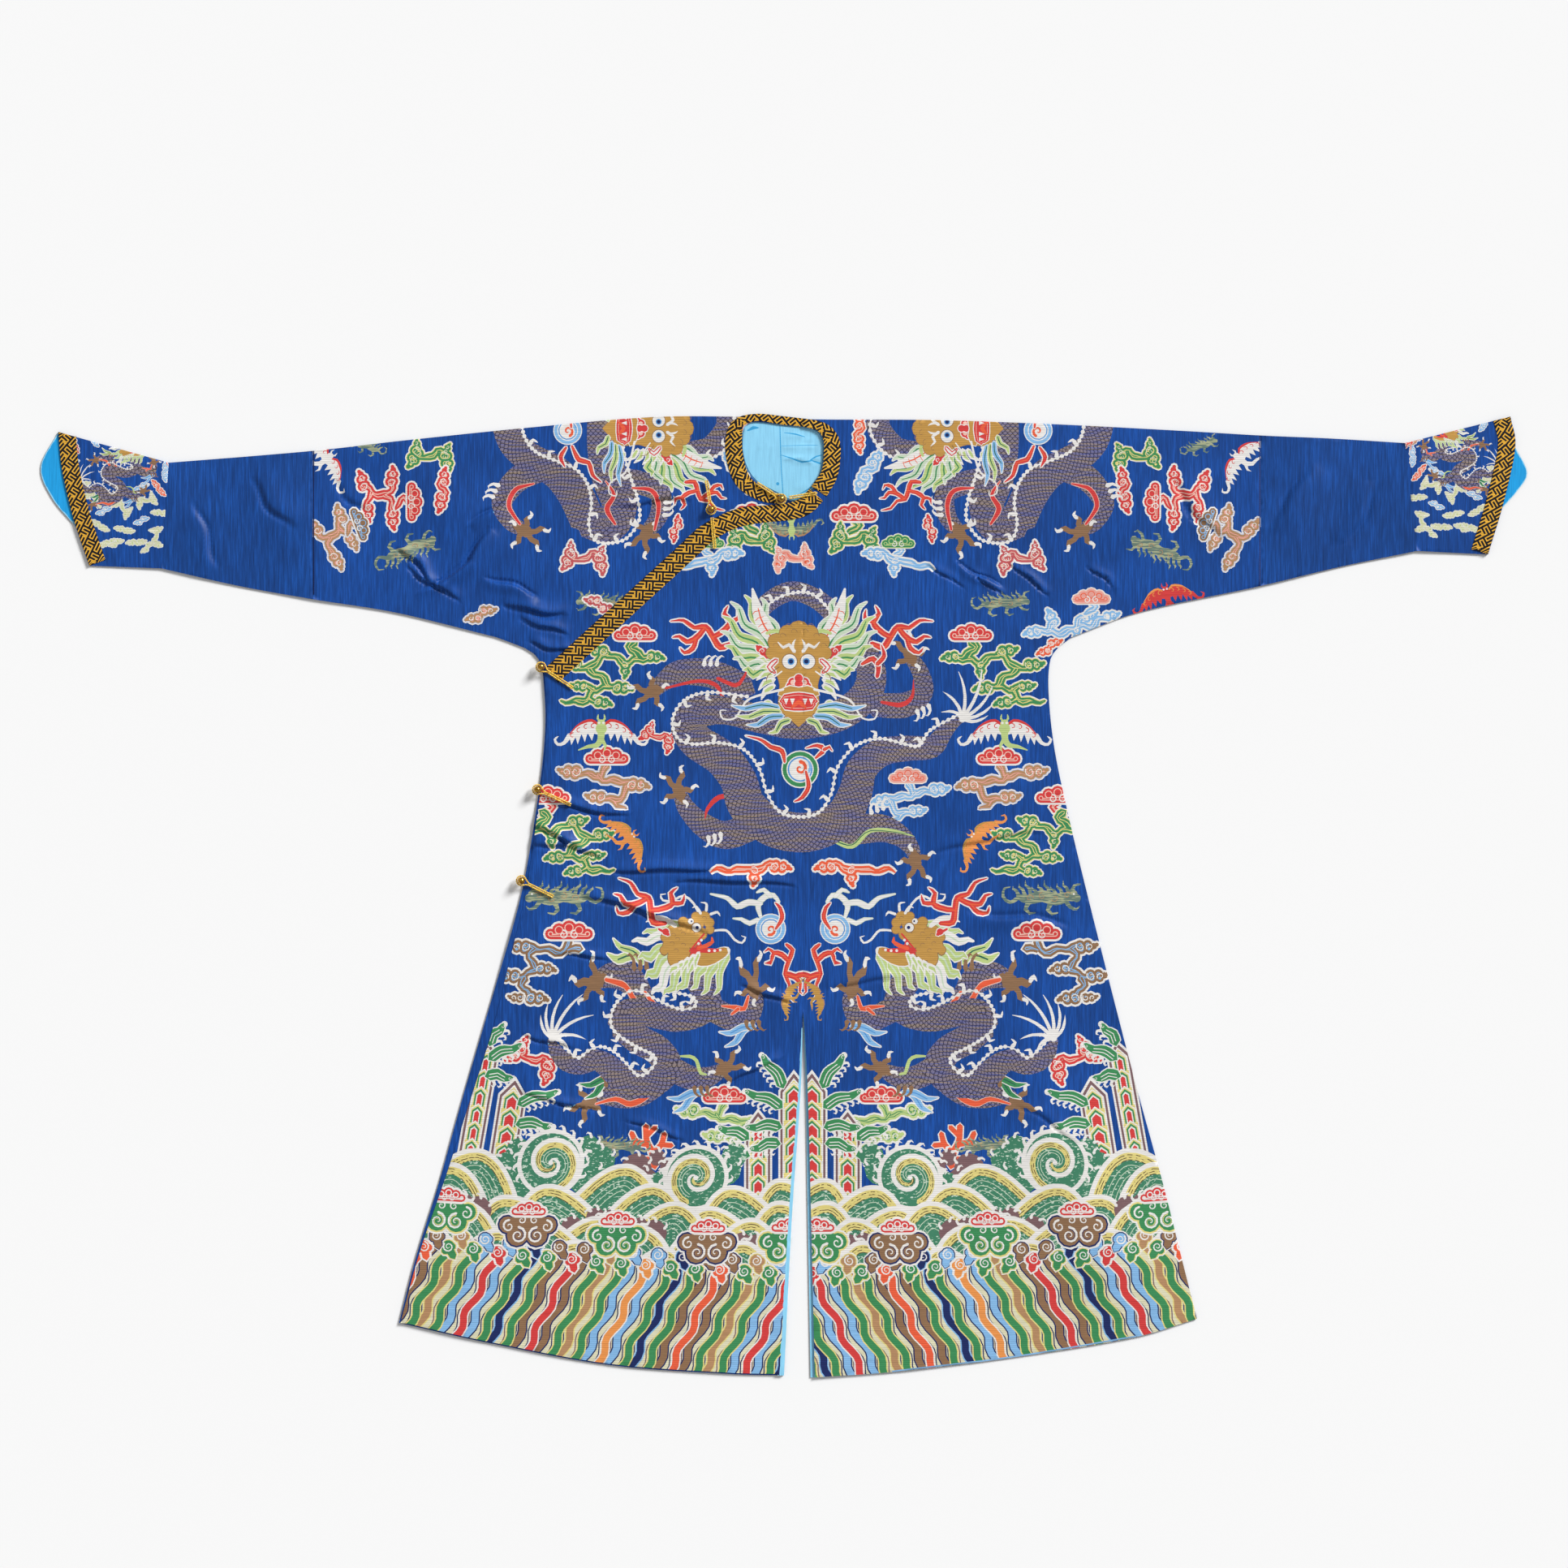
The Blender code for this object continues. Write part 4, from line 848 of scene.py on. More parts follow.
def profile_head(pen):
    """Dragon's head in profile, looking up and to the inner side, in the dragon's own frame."""
    for x, y, turn, length, yarn in (
            (180, -42, -14, 50, "lime"), (190, -60, -6, 54, "ivory"), (192, -76, -14, 44, "lime"),
            (190, -86, -28, 40, "lime"), (184, -92, -44, 44, "ivory"), (170, -94, -46, 42, "lime"),
            (156, -92, -48, 36, "lime")):
        strand(pen.at(x, y, 1, turn), [(-4, 0, 9), (length * 0.3, 4, 11), (length * 0.62, -3, 9),
                                        (length * 0.86, 2, 5), (length, 0, 1.2)], yarn, "ivory", "mist")
    for x, y, turn, length in ((108, -84, -66, 44), (124, -92, -58, 38), (140, -94, -50, 30)):
        strand(pen.at(x, y, 1, turn), [(0, 0, 9), (length * 0.4, 4, 9), (length * 0.75, -2, 6),
            (length, 1, 1)], "lime", "ivory", "mist")
    # whiskers
    pen.stroke([(147, -29, 3), (158, -9, 3.4), (172, -1, 3.4), (186, -8, 3.2), (200, -7, 3), (203, 1, 2.6),
                (196, 2, 1.2)], "ivory", 5.0)
    pen.stroke([(131, -51, 3.2), (110, -50, 3.4), (98, -63, 3.4), (87, -68, 3), (82, -60, 2.6),
        (88, -58, 1.2)], "ivory", 5.0)
    # skull, jaw and open mouth
    skull = [(176, -60, 15), (188, -71, 12), (186, -53, 10), (165, -46, 12), (151, -39, 10), (141, -31, 8),
             (134, -39, 7), (133, -49, 6), (146, -55, 9), (160, -64, 11), (172, -79, 11), (185, -86, 8),
             (153, -30, 6), (171, -38, 7), (197, -60, 6), (198, -78, 6)]
    jaw = [(168, -84), (152, -94), (132, -94), (114, -88), (104, -82), (106, -74), (118, -74), (136, -80),
           (156, -78)]
    mouth = [(112, -77), (128, -82), (148, -82), (163, -84), (166, -78), (154, -66), (142, -54), (139, -56),
             (146, -68), (142, -74), (128, -76)]
    pen.area(jaw, "ivory")
    pen.at(133, -84, 0.9).area([(x - 133, y + 84) for x, y in jaw], "gold")
    pen.area(mouth, "red")
    pen.stroke([(150, -76, 5), (138, -72, 6), (129, -66, 5), (130, -60, 2)], "rose")
    pen.union(skull, ((1.0, "brown"), (0, "gold")))
    pen.stroke([(182, -44, 6), (196, -34, 8), (212, -32, 6), (224, -38, 1.5)], "ivory")
    pen.union([(196, -52, 5), [(192, -56, 5), (206, -48, 3)]], ((1.4, "ivory"), (0, "red")))
    pen.stroke([(141, -55, 2.4), (152, -68, 2.6), (162, -80, 2.0)], "red")
    for x, y in ((118, -78), (126, -79), (134, -79), (145, -64), (149, -69)):
        pen.disc(x, y, 2.2, "ivory", 6)
    for x, y in ((176, -50), (184, -58), (186, -70), (178, -64), (170, -56), (180, -80), (170, -72),
            (140, -34)):
        pen.spiral(x, y, 4.6, 0.7, 0.8, "brown", 30, 1)
    for x, y, r in ((152, -46, 7.5), (160, -37, 5.0)):
        pen.disc(x, y, r, "brown", 14)
        pen.disc(x, y, r * 0.86, "ivory", 14)
        pen.disc(x - 1, y, r * 0.34, "navy", 8)
    for rows in (((132, -27, 4), (122, -24, 3.4), (118, -30, 1)), ((138, -22, 4), (138, -12, 3.4),
            (146, -10, 1)), ((146, -26, 4), (152, -16, 3.2), (158, -18, 1))):
        pen.stroke(rows, "ivory", 3.0)
    # cheek frill
    for k in range(5):
        p = pen.at(150 + 8 * k, -86 - 2.5 * k, 1, -70 + 10 * k)
        p.stroke([(-4, 0, 6), (5, 2, 7), (13, 0, 2)], "ivory", 4.0)
        p.stroke([(-2, 0, 2.6), (5, 2, 3), (10, 0, 1)], "lime", 4.0)


def profile_dragon(pen):
    """Striding dragon of the skirt, for the right half."""
    for rows, turn in (
            (((126, -146, 36), (96, -160, 34), (76, -152, 30), (68, -132, 24), (70, -118, 18)), 78),
            (((226, -142, 34), (236, -116, 34), (256, -104, 30), (280, -103, 22), (294, -108, 18)), -22),
            (((190, -228, 36), (162, -242, 34), (138, -242, 30), (120, -234, 22), (114, -230, 18)), 152),
            (((210, -250, 38), (234, -266, 36), (262, -270, 32), (290, -268, 24), (304, -276, 18)), -44)):
        limb(pen, list(rows), turn)
    for x, y, turn, yarn in ((76, -172, 215, "azure"), (150, -266, 185, "azure"), (236, -88, 40, "lime"),
                             (276, -246, 20, "green")):
        p = pen.at(x, y, 1, 0)
        for swing in (-8, 22):
            strand(p.at(0, 0, 1, (swing - 30) if yarn != "lime" else swing + 14), [(-6, 2, 8), (10, 3, 9),
                (28, -3, 7), (44, 1, 1.2)], yarn, "ivory", "sky" if yarn == "azure" else "pine")
        barbs(pen.at(x - 4, y + (8 if yarn == "azure" else -6)), 0, 0, 180 if yarn == "azure" else 0, "brown")
    for rows in (((78, -126, 3), (84, -144, 6), (96, -142, 6), (116, -140, 2)), ((92, -144, 5),
            (102, -152, 3)), ((282, -106, 3), (254, -112, 6), (240, -132, 7), (222, -146, 9), (212, -140, 7),
            (226, -120, 4)), ((210, -246, 3), (222, -268, 7), (246, -280, 8), (268, -273, 6),
            (296, -280, 2))):
        pen.stroke([(x, y, w + 1.6) for x, y, w in rows], "blush")
        pen.stroke(rows, "rose")
    pen.stroke([(138, -238, 3), (146, -236, 5), (152, -218, 5), (162, -212, 5), (178, -212, 2)], "lime")
    pen.stroke(PROFILE_BODY[:9], "hide", grain=True)
    pen.stroke(PROFILE_BODY[8:], "hide", grain=True)
    beads(pen, PROFILE_RIDGE, 4)
    tail_fan(pen.at(358, -186), 118)
    profile_head(pen)
    # pearl with its flames
    for rows in (((60, -32, 3), (64, -14, 7), (54, -2, 7), (42, 0, 6), (34, -10, 3)), ((60, -12, 6),
            (78, -10, 8), (94, -16, 7), (108, -4, 5), (132, 2, 1.5)), ((64, -34, 4), (76, -40, 6),
            (88, -34, 4), (100, -33, 1)), ((46, -2, 5), (56, 8, 5), (66, 4, 1.5))):
        pen.stroke([(x, y, w + 1.6) for x, y, w in rows], "mist")
        pen.stroke(rows, "ivory")
    pearl(pen.at(46, -48, 1.0, 200), 22, "azure")
    flame(pen.at(24, -70, 0.8, 245))
    flame(pen.at(196, -40, 1.15, 28))


SHOULDER_BODY = (
    (286, 690, 44), (284, 640, 48), (276, 596, 50), (262, 556, 50), (278, 528, 50), (308, 536, 50),
    (326, 574, 50), (352, 604, 46), (386, 622, 44), (416, 648, 40), (430, 690, 36),
)

def shoulder_dragon(pen):
    """Front-facing dragon that lies over the shoulder fold, head towards the neck."""
    limb(pen, [(268, 590, 40), (236, 590, 34), (204, 574, 30), (206, 542, 26), (222, 520, 20)], -60)
    limb(pen, [(372, 612, 40), (408, 594, 36), (430, 562, 30), (418, 534, 24), (400, 522, 20)], 205)
    barbs(pen, 196, 552, 96)
    barbs(pen, 440, 578, -66)
    pen.stroke([(110, 700, 30), (108, 668, 34), (132, 640, 32), (160, 636, 26)], "hide", grain=True)
    beads(pen, ((100, 690), (96, 664), (112, 636), (138, 622), (160, 622)), 4)
    pen.stroke(SHOULDER_BODY[:6], "hide", grain=True)
    pen.stroke(SHOULDER_BODY[5:], "hide", grain=True)
    beads(pen, ((258, 690), (257, 640), (247, 600), (236, 566), (234, 536), (252, 510), (278, 503),
        (298, 508), (306, 530), (302, 560), (308, 588), (326, 610), (356, 622), (382, 634), (398, 656),
        (404, 690)), 5)
    for rows in (((212, 522, 3), (206, 556, 6), (216, 578, 6), (244, 582, 2)),
                 ((404, 530, 3), (420, 556, 6), (410, 580, 6), (384, 588, 2)),
                 ((268, 530, 3), (280, 552, 7), (270, 572, 5), (282, 592, 1))):
        pen.stroke([(x, y, w + 1.6) for x, y, w in rows], "blush")
        pen.stroke(rows, "red")
    frontal_head(pen.at(206, 667, 0.86, 90))
    pearl(pen.at(336, 664, 0.9, 160), 23, "azure")
    for rows in (((330, 642, 3), (320, 622, 7), (306, 618, 6), (300, 600, 5), (288, 590, 1.5)),
                 ((338, 640, 3), (346, 626, 6), (340, 612, 1.5))):
        tongue(pen, rows)


def reflect(shapes, axis):
    """Shapes mirrored about a vertical line."""
    return [(outline * (-1, 1) + (2 * axis, 0), yarn, None if path is None else path * (-1, 1, 1) +
        (2 * axis, 0, 0)) for outline, yarn, path in shapes]


# ---------------------------------------------------------------- the whole design

# Clouds of one half: distance from the centre, height, size, turn, mirrored, shape, yarns, yarns of its cap
CLOUDS = (
    (80, 662, 0.85, 0, False, PLUME, "coral", None),
    (94, 608, 1.0, -30, False, PLUME, "azure", None),
    (73, 543, 1.05, 0, False, STEM, "green", "red"),
    (74, 510, 1.0, 0, True, TWIN, "green", None),
    (136, 503, 0.75, 0, False, STEM, "azure", "lime"),
    (130, 482, 0.95, -5, False, TRAIL, "azure", None),
    (180, 524, 0.75, 80, False, SMALL, "red", None),
    (312, 484, 0.95, 0, False, TWIN, "rose", None),
    (240, 372, 0.98, 0, False, GREAT, "green", "red"),
    (280, 196, 1.0, 0, False, RAMBLE, "dusk", "red"),
    (364, 140, 1.0, 0, True, STEM, "red", "red"),
    (372, 128, 0.95, 0, True, GREAT, "green", None),
    (334, -54, 1.1, 0, False, CASCADE, "tan", "red"),
    (384, -232, 1.05, 25, False, TWIN, "red", None),
    (112, -288, 1.0, 0, False, RAMBLE, "pale", "red"),
    (532, 630, 0.95, 0, False, TWIN, "green", None),
    (514, 580, 0.95, 8, False, PLUME, "red", None),
    (604, 568, 1.0, 0, True, FORK, "red", None),
    (558, 562, 0.9, 90, False, STEM, "red", "red"),
    (668, 512, 0.95, -35, False, FORK, "dusk", None),
    (634, 530, 0.8, 70, False, STEM, "dusk", "tan"),
    (66, 40, 1.05, 6, False, TRAIL, "coral", None),
)


def settled(shapes, first, fall):
    """Moves shapes down, from the first on, by what fall(x, y) gives at each of their points."""
    for i in range(first, len(shapes)):
        outline, yarn, path = shapes[i]
        lower = np.array(outline, float)
        lower[:, 1] -= fall(lower[:, 0] - CENTRE_X, lower[:, 1])
        if path is not None:
            path = np.array(path, float)
            path[:, 1] -= fall(path[:, 0] - CENTRE_X, path[:, 1])
        shapes[i] = (lower, yarn, path)


def half_design(pen, drawn_in):
    """Everything that the two halves of the robe share, its sleeve motifs drawn in by some way."""
    sleeve = pen.at(-drawn_in, 0)
    for x, y, size, turn, flip, shape, yarns, head in CLOUDS:
        cloud((sleeve if x > 500 else pen).at(x, y, size, turn, flip), shape, yarns, head)
    shoulder_dragon(pen)
    flame(pen.at(168, 590, 0.85, 200))
    beast(sleeve.at(564, 498, 0.85, 158), "slate")
    beast(pen.at(288, 414, 0.75, 4), "slate")
    beast(sleeve.at(626, 640, 0.5, 20), "slate")
    bat(sleeve.at(682, 622, 0.8, 50), "ivory", "red", "ivory")
    bat(pen.at(288, 234, 1.02, 0), "ivory", "red", "lime")
    bat(pen.at(250, 80, 0.78, 52), "orange", "gold", "orange")
    beast(pen.at(348, -8, 1.0, 0), "slate")
    first = len(pen.shapes)
    profile_dragon(pen)
    settled(pen.shapes, first, lambda x, y: 18 * np.clip((-82 - y) / 30, 0, 1))
    first = len(pen.shapes)
    sea(pen)
    settled(pen.shapes, first, lambda x, y: 10 + 0.06 * np.clip(x, 0, 420))


def front_designs():
    """Shapes for the wearer's left front and for the right, which mirrors it but for a few clouds."""
    left, right = [], []
    half_design(Pen(left).at(CENTRE_X, 0), 56)
    half_design(Pen(right).at(CENTRE_X, 0), 0)
    right = reflect(right, CENTRE_X)
    for shapes, x, y, size, turn, flip, shape, yarns, head in (
            (left, 150, 168, 0.85, 0, False, RAMBLE, "azure", "pink"),
            (right, -206, 228, 0.72, -20, True, TWIN, "red", None),
            (left, 383, 384, 0.9, 6, False, SPRAWL, "azure", None),
            (left, 412, 424, 0.85, 0, False, STEM, "azure", "pink"),
            (left, 352, 356, 0.8, 10, False, SMALL, "coral", None),
            (right, -460, 403, 0.9, 0, False, SMALL, "dusk", None),
            (right, -290, 417, 0.9, 0, True, SMALL, "rose", None)):
        cloud(Pen(shapes).at(CENTRE_X + x, y, size, turn, flip), shape, yarns, head)
    bat(Pen(left).at(CENTRE_X + 520, 428, 0.8, 14), "red", "orange", "red")
    for shapes, seam in ((left, LEFT_SLEEVE_SEAM - 1.2), (right, RIGHT_SLEEVE_SEAM + 1.2)):
        Pen(shapes).stroke([(seam, 430, 1.8), (seam, 560, 1.5), (seam, 690, 1.8)], "navy")
    Pen(left).stroke([(x, y + 1.0, 2.2) for x, y in LEFT_HEM[1:4]], "azure")
    middle = []
    bat(Pen(middle).at(CENTRE_X - 16, 524, 0.7, 180), "slate", "tan", "lime")
    cloud(Pen(middle).at(CENTRE_X - 14, 484, 0.8), TWIN, "pink")
    for side in (-1, 1):
        bat(Pen(middle).at(CENTRE_X + 20 * side, -146, 0.5, -70 * side), "gold", "tan", "gold")
    frontal_dragon(Pen(middle).at(CENTRE_X, 0))
    return left + middle, right + middle


# ---------------------------------------------------------------- colours and materials

# Weft yarns of the brocade: material name, colour
YARNS = {
    "ivory": ("Ivory silk weft", "e9e6e2"),
    "lavender": ("Pale lavender silk weft", "c6c9dc"),
    "cream": ("Cream silk weft", "dcd8b8"),
    "butter": ("Butter yellow silk weft", "e2d384"),
    "lime": ("Lime green silk weft", "bccf86"),
    "mist": ("Pale green silk weft", "c9d9c0"),
    "green": ("Leaf green silk weft", "3d8c57"),
    "pine": ("Pine green silk weft", "2a6553"),
    "azure": ("Azure silk weft", "86b8e4"),
    "sky": ("Sky blue silk weft", "5596d4"),
    "navy": ("Navy silk weft", "1b2a60"),
    "slate": ("Slate green silk weft", "64796f"),
    "plum": ("Plum brown silk weft", "7d5f62"),
    "brown": ("Brown silk weft", "8f6d50"),
    "tan": ("Tan silk weft", "b48a63"),
    "gold": ("Gilt thread over silk", "c99a50"),
    "orange": ("Orange silk weft", "ea9650"),
    "red": ("Red silk weft", "d5403f"),
    "rose": ("Coral red silk weft", "e9603f"),
    "madder": ("Madder silk weft", "c4585c"),
    "fleck": ("Green weft flecked with white", "3f7f62"),
    "dash": ("Yellow weft tied down in brown", "5a4632"),
    "pink": ("Pink silk weft", "e9a498"),
    "blush": ("Pale pink silk weft", "f0c4b4"),
    "hide": ("Scaled gilt and blue weft", "6b6078"),
    "black": ("Blue-black silk weft", "14182c"),
    "trim_gold": ("Gilt thread of the bands", "f0b63e"),
    # The seam yarn also paints shade along the puckers of the neck lining
    "seam": ("Bright blue seam, marks and painted crease shade", "3fa6dc"),
}
YARN_INDEX = {name: i for i, name in enumerate(YARNS)}


def linear(code, alpha=1.0):
    """An sRGB hex colour as linear light."""
    channels = [int(code[i : i + 2], 16) / 255 for i in (0, 2, 4)]
    return [c / 12.92 if c <= 0.04045 else ((c + 0.055) / 1.055) ** 2.4 for c in channels] + [alpha]


def shade(code, factor):
    """A hex colour made lighter or darker, as linear light."""
    r, g, b, a = linear(code)
    return [min(1.0, r * factor), min(1.0, g * factor), min(1.0, b * factor), a]


def add(tree, kind, inputs=None, **settings):
    """Adds a node, sets its properties and its inputs; an input that is a socket gets linked."""
    node = tree.nodes.new(kind)
    for key, value in settings.items():
        setattr(node, key, value)
    for key, value in (inputs or {}).items():
        if isinstance(value, bpy.types.NodeSocket):
            tree.links.new(value, node.inputs[key])
        else:
            node.inputs[key].default_value = value
    return node


def start_material(name, roughness, metallic=0.0, sheen=0.0):
    """A new material, its tree, its shader and its object coordinates in metres."""
    material = bpy.data.materials.new(name)
    material.use_nodes = True
    tree = material.node_tree
    shader = tree.nodes["Principled BSDF"]
    shader.inputs["Roughness"].default_value = roughness
    shader.inputs["Metallic"].default_value = metallic
    shader.inputs["Sheen Weight"].default_value = sheen
    shader.inputs["Sheen Roughness"].default_value = 0.4
    shader.inputs["Specular IOR Level"].default_value = 0.22
    place = add(tree, "ShaderNodeTexCoord").outputs["Object"]
    return material, tree, shader, place


def streaks(tree, place, across, along, detail=2.0):
    """Uneven thread lines: noise stretched along the threads, in lines per metre each way."""
    scaled = add(tree, "ShaderNodeMapping", {"Vector": place, "Scale": (across, along, 60.0)})
    return add(tree, "ShaderNodeTexNoise", {"Vector": scaled.outputs[0], "Scale": 1.0, "Detail": detail,
                                            "Roughness": 0.6}).outputs["Fac"]


def ramp(tree, factor, stops):
    """Colours by factor: rows of position and linear colour."""
    node = add(tree, "ShaderNodeValToRGB", {"Fac": factor})
    band = node.color_ramp
    for k, (position, colour) in enumerate(stops):
        stop = band.elements[k] if k < 2 else band.elements.new(position)
        stop.position = position
        stop.color = colour
    return node.outputs["Color"]


def emboss(tree, shader, height, strength, depth):
    """Surface relief of the threads, depth in metres."""
    bump = add(tree, "ShaderNodeBump", {"Height": height, "Strength": strength, "Distance": depth})
    tree.links.new(bump.outputs["Normal"], shader.inputs["Normal"])


def maths(tree, operation, a, b=0.0):
    return add(tree, "ShaderNodeMath", {0: a, 1: b}, operation=operation).outputs[0]


def brocade_weft(name, code):
    """Floss of one colour carried across the cloth: ribbed picks, each a little lighter or darker."""
    metal = 0.25 if "Gilt" in name else 0.0
    material, tree, shader, place = start_material(name, 0.55, metal, 0.05)
    # Picks are drawn 2.4 mm apart, coarser than the real ones, so that they hold at this distance
    picks = add(tree, "ShaderNodeTexWave", {"Vector": place, "Scale": 104.0, "Distortion": 0.6,
                                            "Detail": 1.0, "Detail Scale": 3.0},
                wave_type="BANDS", bands_direction="Y").outputs["Fac"]
    slubs = streaks(tree, place, 45.0, 700.0)
    total = maths(tree, "ADD", slubs, maths(tree, "MULTIPLY", picks, 0.3))
    stops = ((0.25, 0.74), (0.75, 1.0), (1.0, 1.18))
    colour = ramp(tree, total, [(at, shade(code, much)) for at, much in stops])
    tree.links.new(colour, shader.inputs["Base Color"])
    emboss(tree, shader, total, 0.35, 0.0006)
    return material


SCALE_WIDTH = 0.0072


def scaled_weft(name):
    """A dragon's hide: rows of overlapping gilt-edged scales on blue and violet, by its own grain."""
    material, tree, shader, place = start_material(name, 0.5, 0.1, 0.05)
    # Scales are a little over life size, so that their rows stay legible
    grain = add(tree, "ShaderNodeUVMap", uv_map="Grain").outputs["UV"]
    parts = add(tree, "ShaderNodeSeparateXYZ", {"Vector": grain})
    along = maths(tree, "MULTIPLY", parts.outputs["X"], 2 / SCALE_WIDTH)
    across = maths(tree, "MULTIPLY", parts.outputs["Y"], 1 / SCALE_WIDTH)
    row = maths(tree, "FLOOR", along)
    odd = maths(tree, "MULTIPLY", maths(tree, "FLOORED_MODULO", row, 2.0), 0.5)
    run = maths(tree, "MULTIPLY", maths(tree, "FRACT", along), 0.5)
    offset = maths(tree, "SUBTRACT", maths(tree, "FRACT", maths(tree, "ADD", across, odd)), 0.5)
    squares = maths(tree, "ADD", maths(tree, "MULTIPLY", run, run), maths(tree, "MULTIPLY", offset, offset))
    radius = maths(tree, "SQRT", squares)
    rim = maths(tree, "ABSOLUTE", maths(tree, "SUBTRACT", radius, 0.47))
    # brassy and violet passes of weft by turns, each scale edged with a dark line
    passes = streaks(tree, place, 26.0, 560.0)
    passes = ramp(tree, passes, ((0.40, linear("686a9c")), (0.62, linear("9a8878"))))
    edging = ramp(tree, rim, ((0.02, linear("6c6c82")), (0.12, linear("ffffff"))))
    mixed = add(tree, "ShaderNodeMix", {0: 1.0, 6: passes, 7: edging}, data_type="RGBA",
                blend_type="MULTIPLY")
    tree.links.new(mixed.outputs[2], shader.inputs["Base Color"])
    emboss(tree, shader, rim, 0.4, 0.0008)
    return material


def flecked(name, code, spot, across, along, cut):
    """Weft with short stitches of another colour scattered in rows across it."""
    material, tree, shader, place = start_material(name, 0.55, 0.0, 0.05)
    specks = streaks(tree, place, across, along, 1.0)
    colour = ramp(tree, specks, ((cut, linear(code)), (cut + 0.05, linear(spot))))
    tree.links.new(colour, shader.inputs["Base Color"])
    emboss(tree, shader, specks, 0.3, 0.0006)
    return material


def satin(name, code, dark, light, across=520.0, along=26.0, roughness=0.46):
    """Warp-faced silk: fine streaks that run down the cloth, and a soft lustre."""
    material, tree, shader, place = start_material(name, roughness, 0.0, 0.08)
    warp = streaks(tree, place, across, along, 3.0)
    cloudy = add(tree, "ShaderNodeTexNoise", {"Vector": place, "Scale": 7.0, "Detail": 2.0}).outputs["Fac"]
    total = add(tree, "ShaderNodeMath", {0: cloudy, 1: 0.25, 2: maths(tree, "MULTIPLY", warp, 0.8)},
                operation="MULTIPLY_ADD").outputs[0]
    stops = ((0.30, dark), (0.52, 1.0), (0.74, light))
    colour = ramp(tree, total, [(at, shade(code, much)) for at, much in stops])
    tree.links.new(colour, shader.inputs["Base Color"])
    emboss(tree, shader, warp, 0.25, 0.0005)
    return material


GROUNDS = {
    "ground": ("Blue silk brocade ground", "12448f", 0.6, 1.7),
    "blue": ("Plain blue silk", "12438b", 0.58, 1.8),
    "lining": ("Sky blue silk lining", "8fd3f4", 0.86, 1.14),
    "cuff_lining": ("Bright blue silk lining", "1f9fe2", 0.8, 1.2),
    "band_ground": ("Blue-black band silk", "12121c", 0.7, 1.5),
}


# Yarns with stitches of another colour: that colour, its lines per metre across and along, its share
FLECKS = {
    "slate": ("a6ab88", 60.0, 520.0, 0.50),
    "fleck": ("c3d6c4", 190.0, 420.0, 0.60),
    "dash": ("d8c878", 170.0, 170.0, 0.50),
}


def yarn_material(key):
    name, code = (GROUNDS.get(key) or YARNS[key])[:2]
    found = bpy.data.materials.get(name)
    if found:
        return found
    if key in GROUNDS:
        return satin(*GROUNDS[key])
    if key == "hide":
        return scaled_weft(name)
    if key in FLECKS:
        return flecked(name, code, *FLECKS[key])
    return brocade_weft(name, code)


def speckled(name, roughness, metallic, sheen, grain, stops, relief):
    """A material mottled by fine noise: grain is its scale and detail, relief its strength and depth."""
    found = bpy.data.materials.get(name)
    if found:
        return found
    material, tree, shader, place = start_material(name, roughness, metallic, sheen)
    flecks = add(tree, "ShaderNodeTexNoise", {"Vector": place, "Scale": grain[0], "Detail": grain[1]})
    flecks = flecks.outputs["Fac"]
    colour = ramp(tree, flecks, [(at, linear(code)) for at, code in stops])
    tree.links.new(colour, shader.inputs["Base Color"])
    emboss(tree, shader, flecks, *relief)
    return material


def brass():
    return speckled("Gilt brass", 0.22, 1.0, 0.0, (420.0, 3.0),
                    ((0.35, "8a5a1c"), (0.6, "e0b050"), (0.8, "f4d890")), (0.15, 0.0002))


def cord_thread():
    return speckled("Gold silk cord", 0.45, 0.0, 0.3, (520.0, 2.0),
                    ((0.30, "5a4416"), (0.38, "c8962c"), (0.50, "f8cc48"), (0.7, "ffe884")), (0.3, 0.0003))


# ---------------------------------------------------------------- heights of the layers, in millimetres

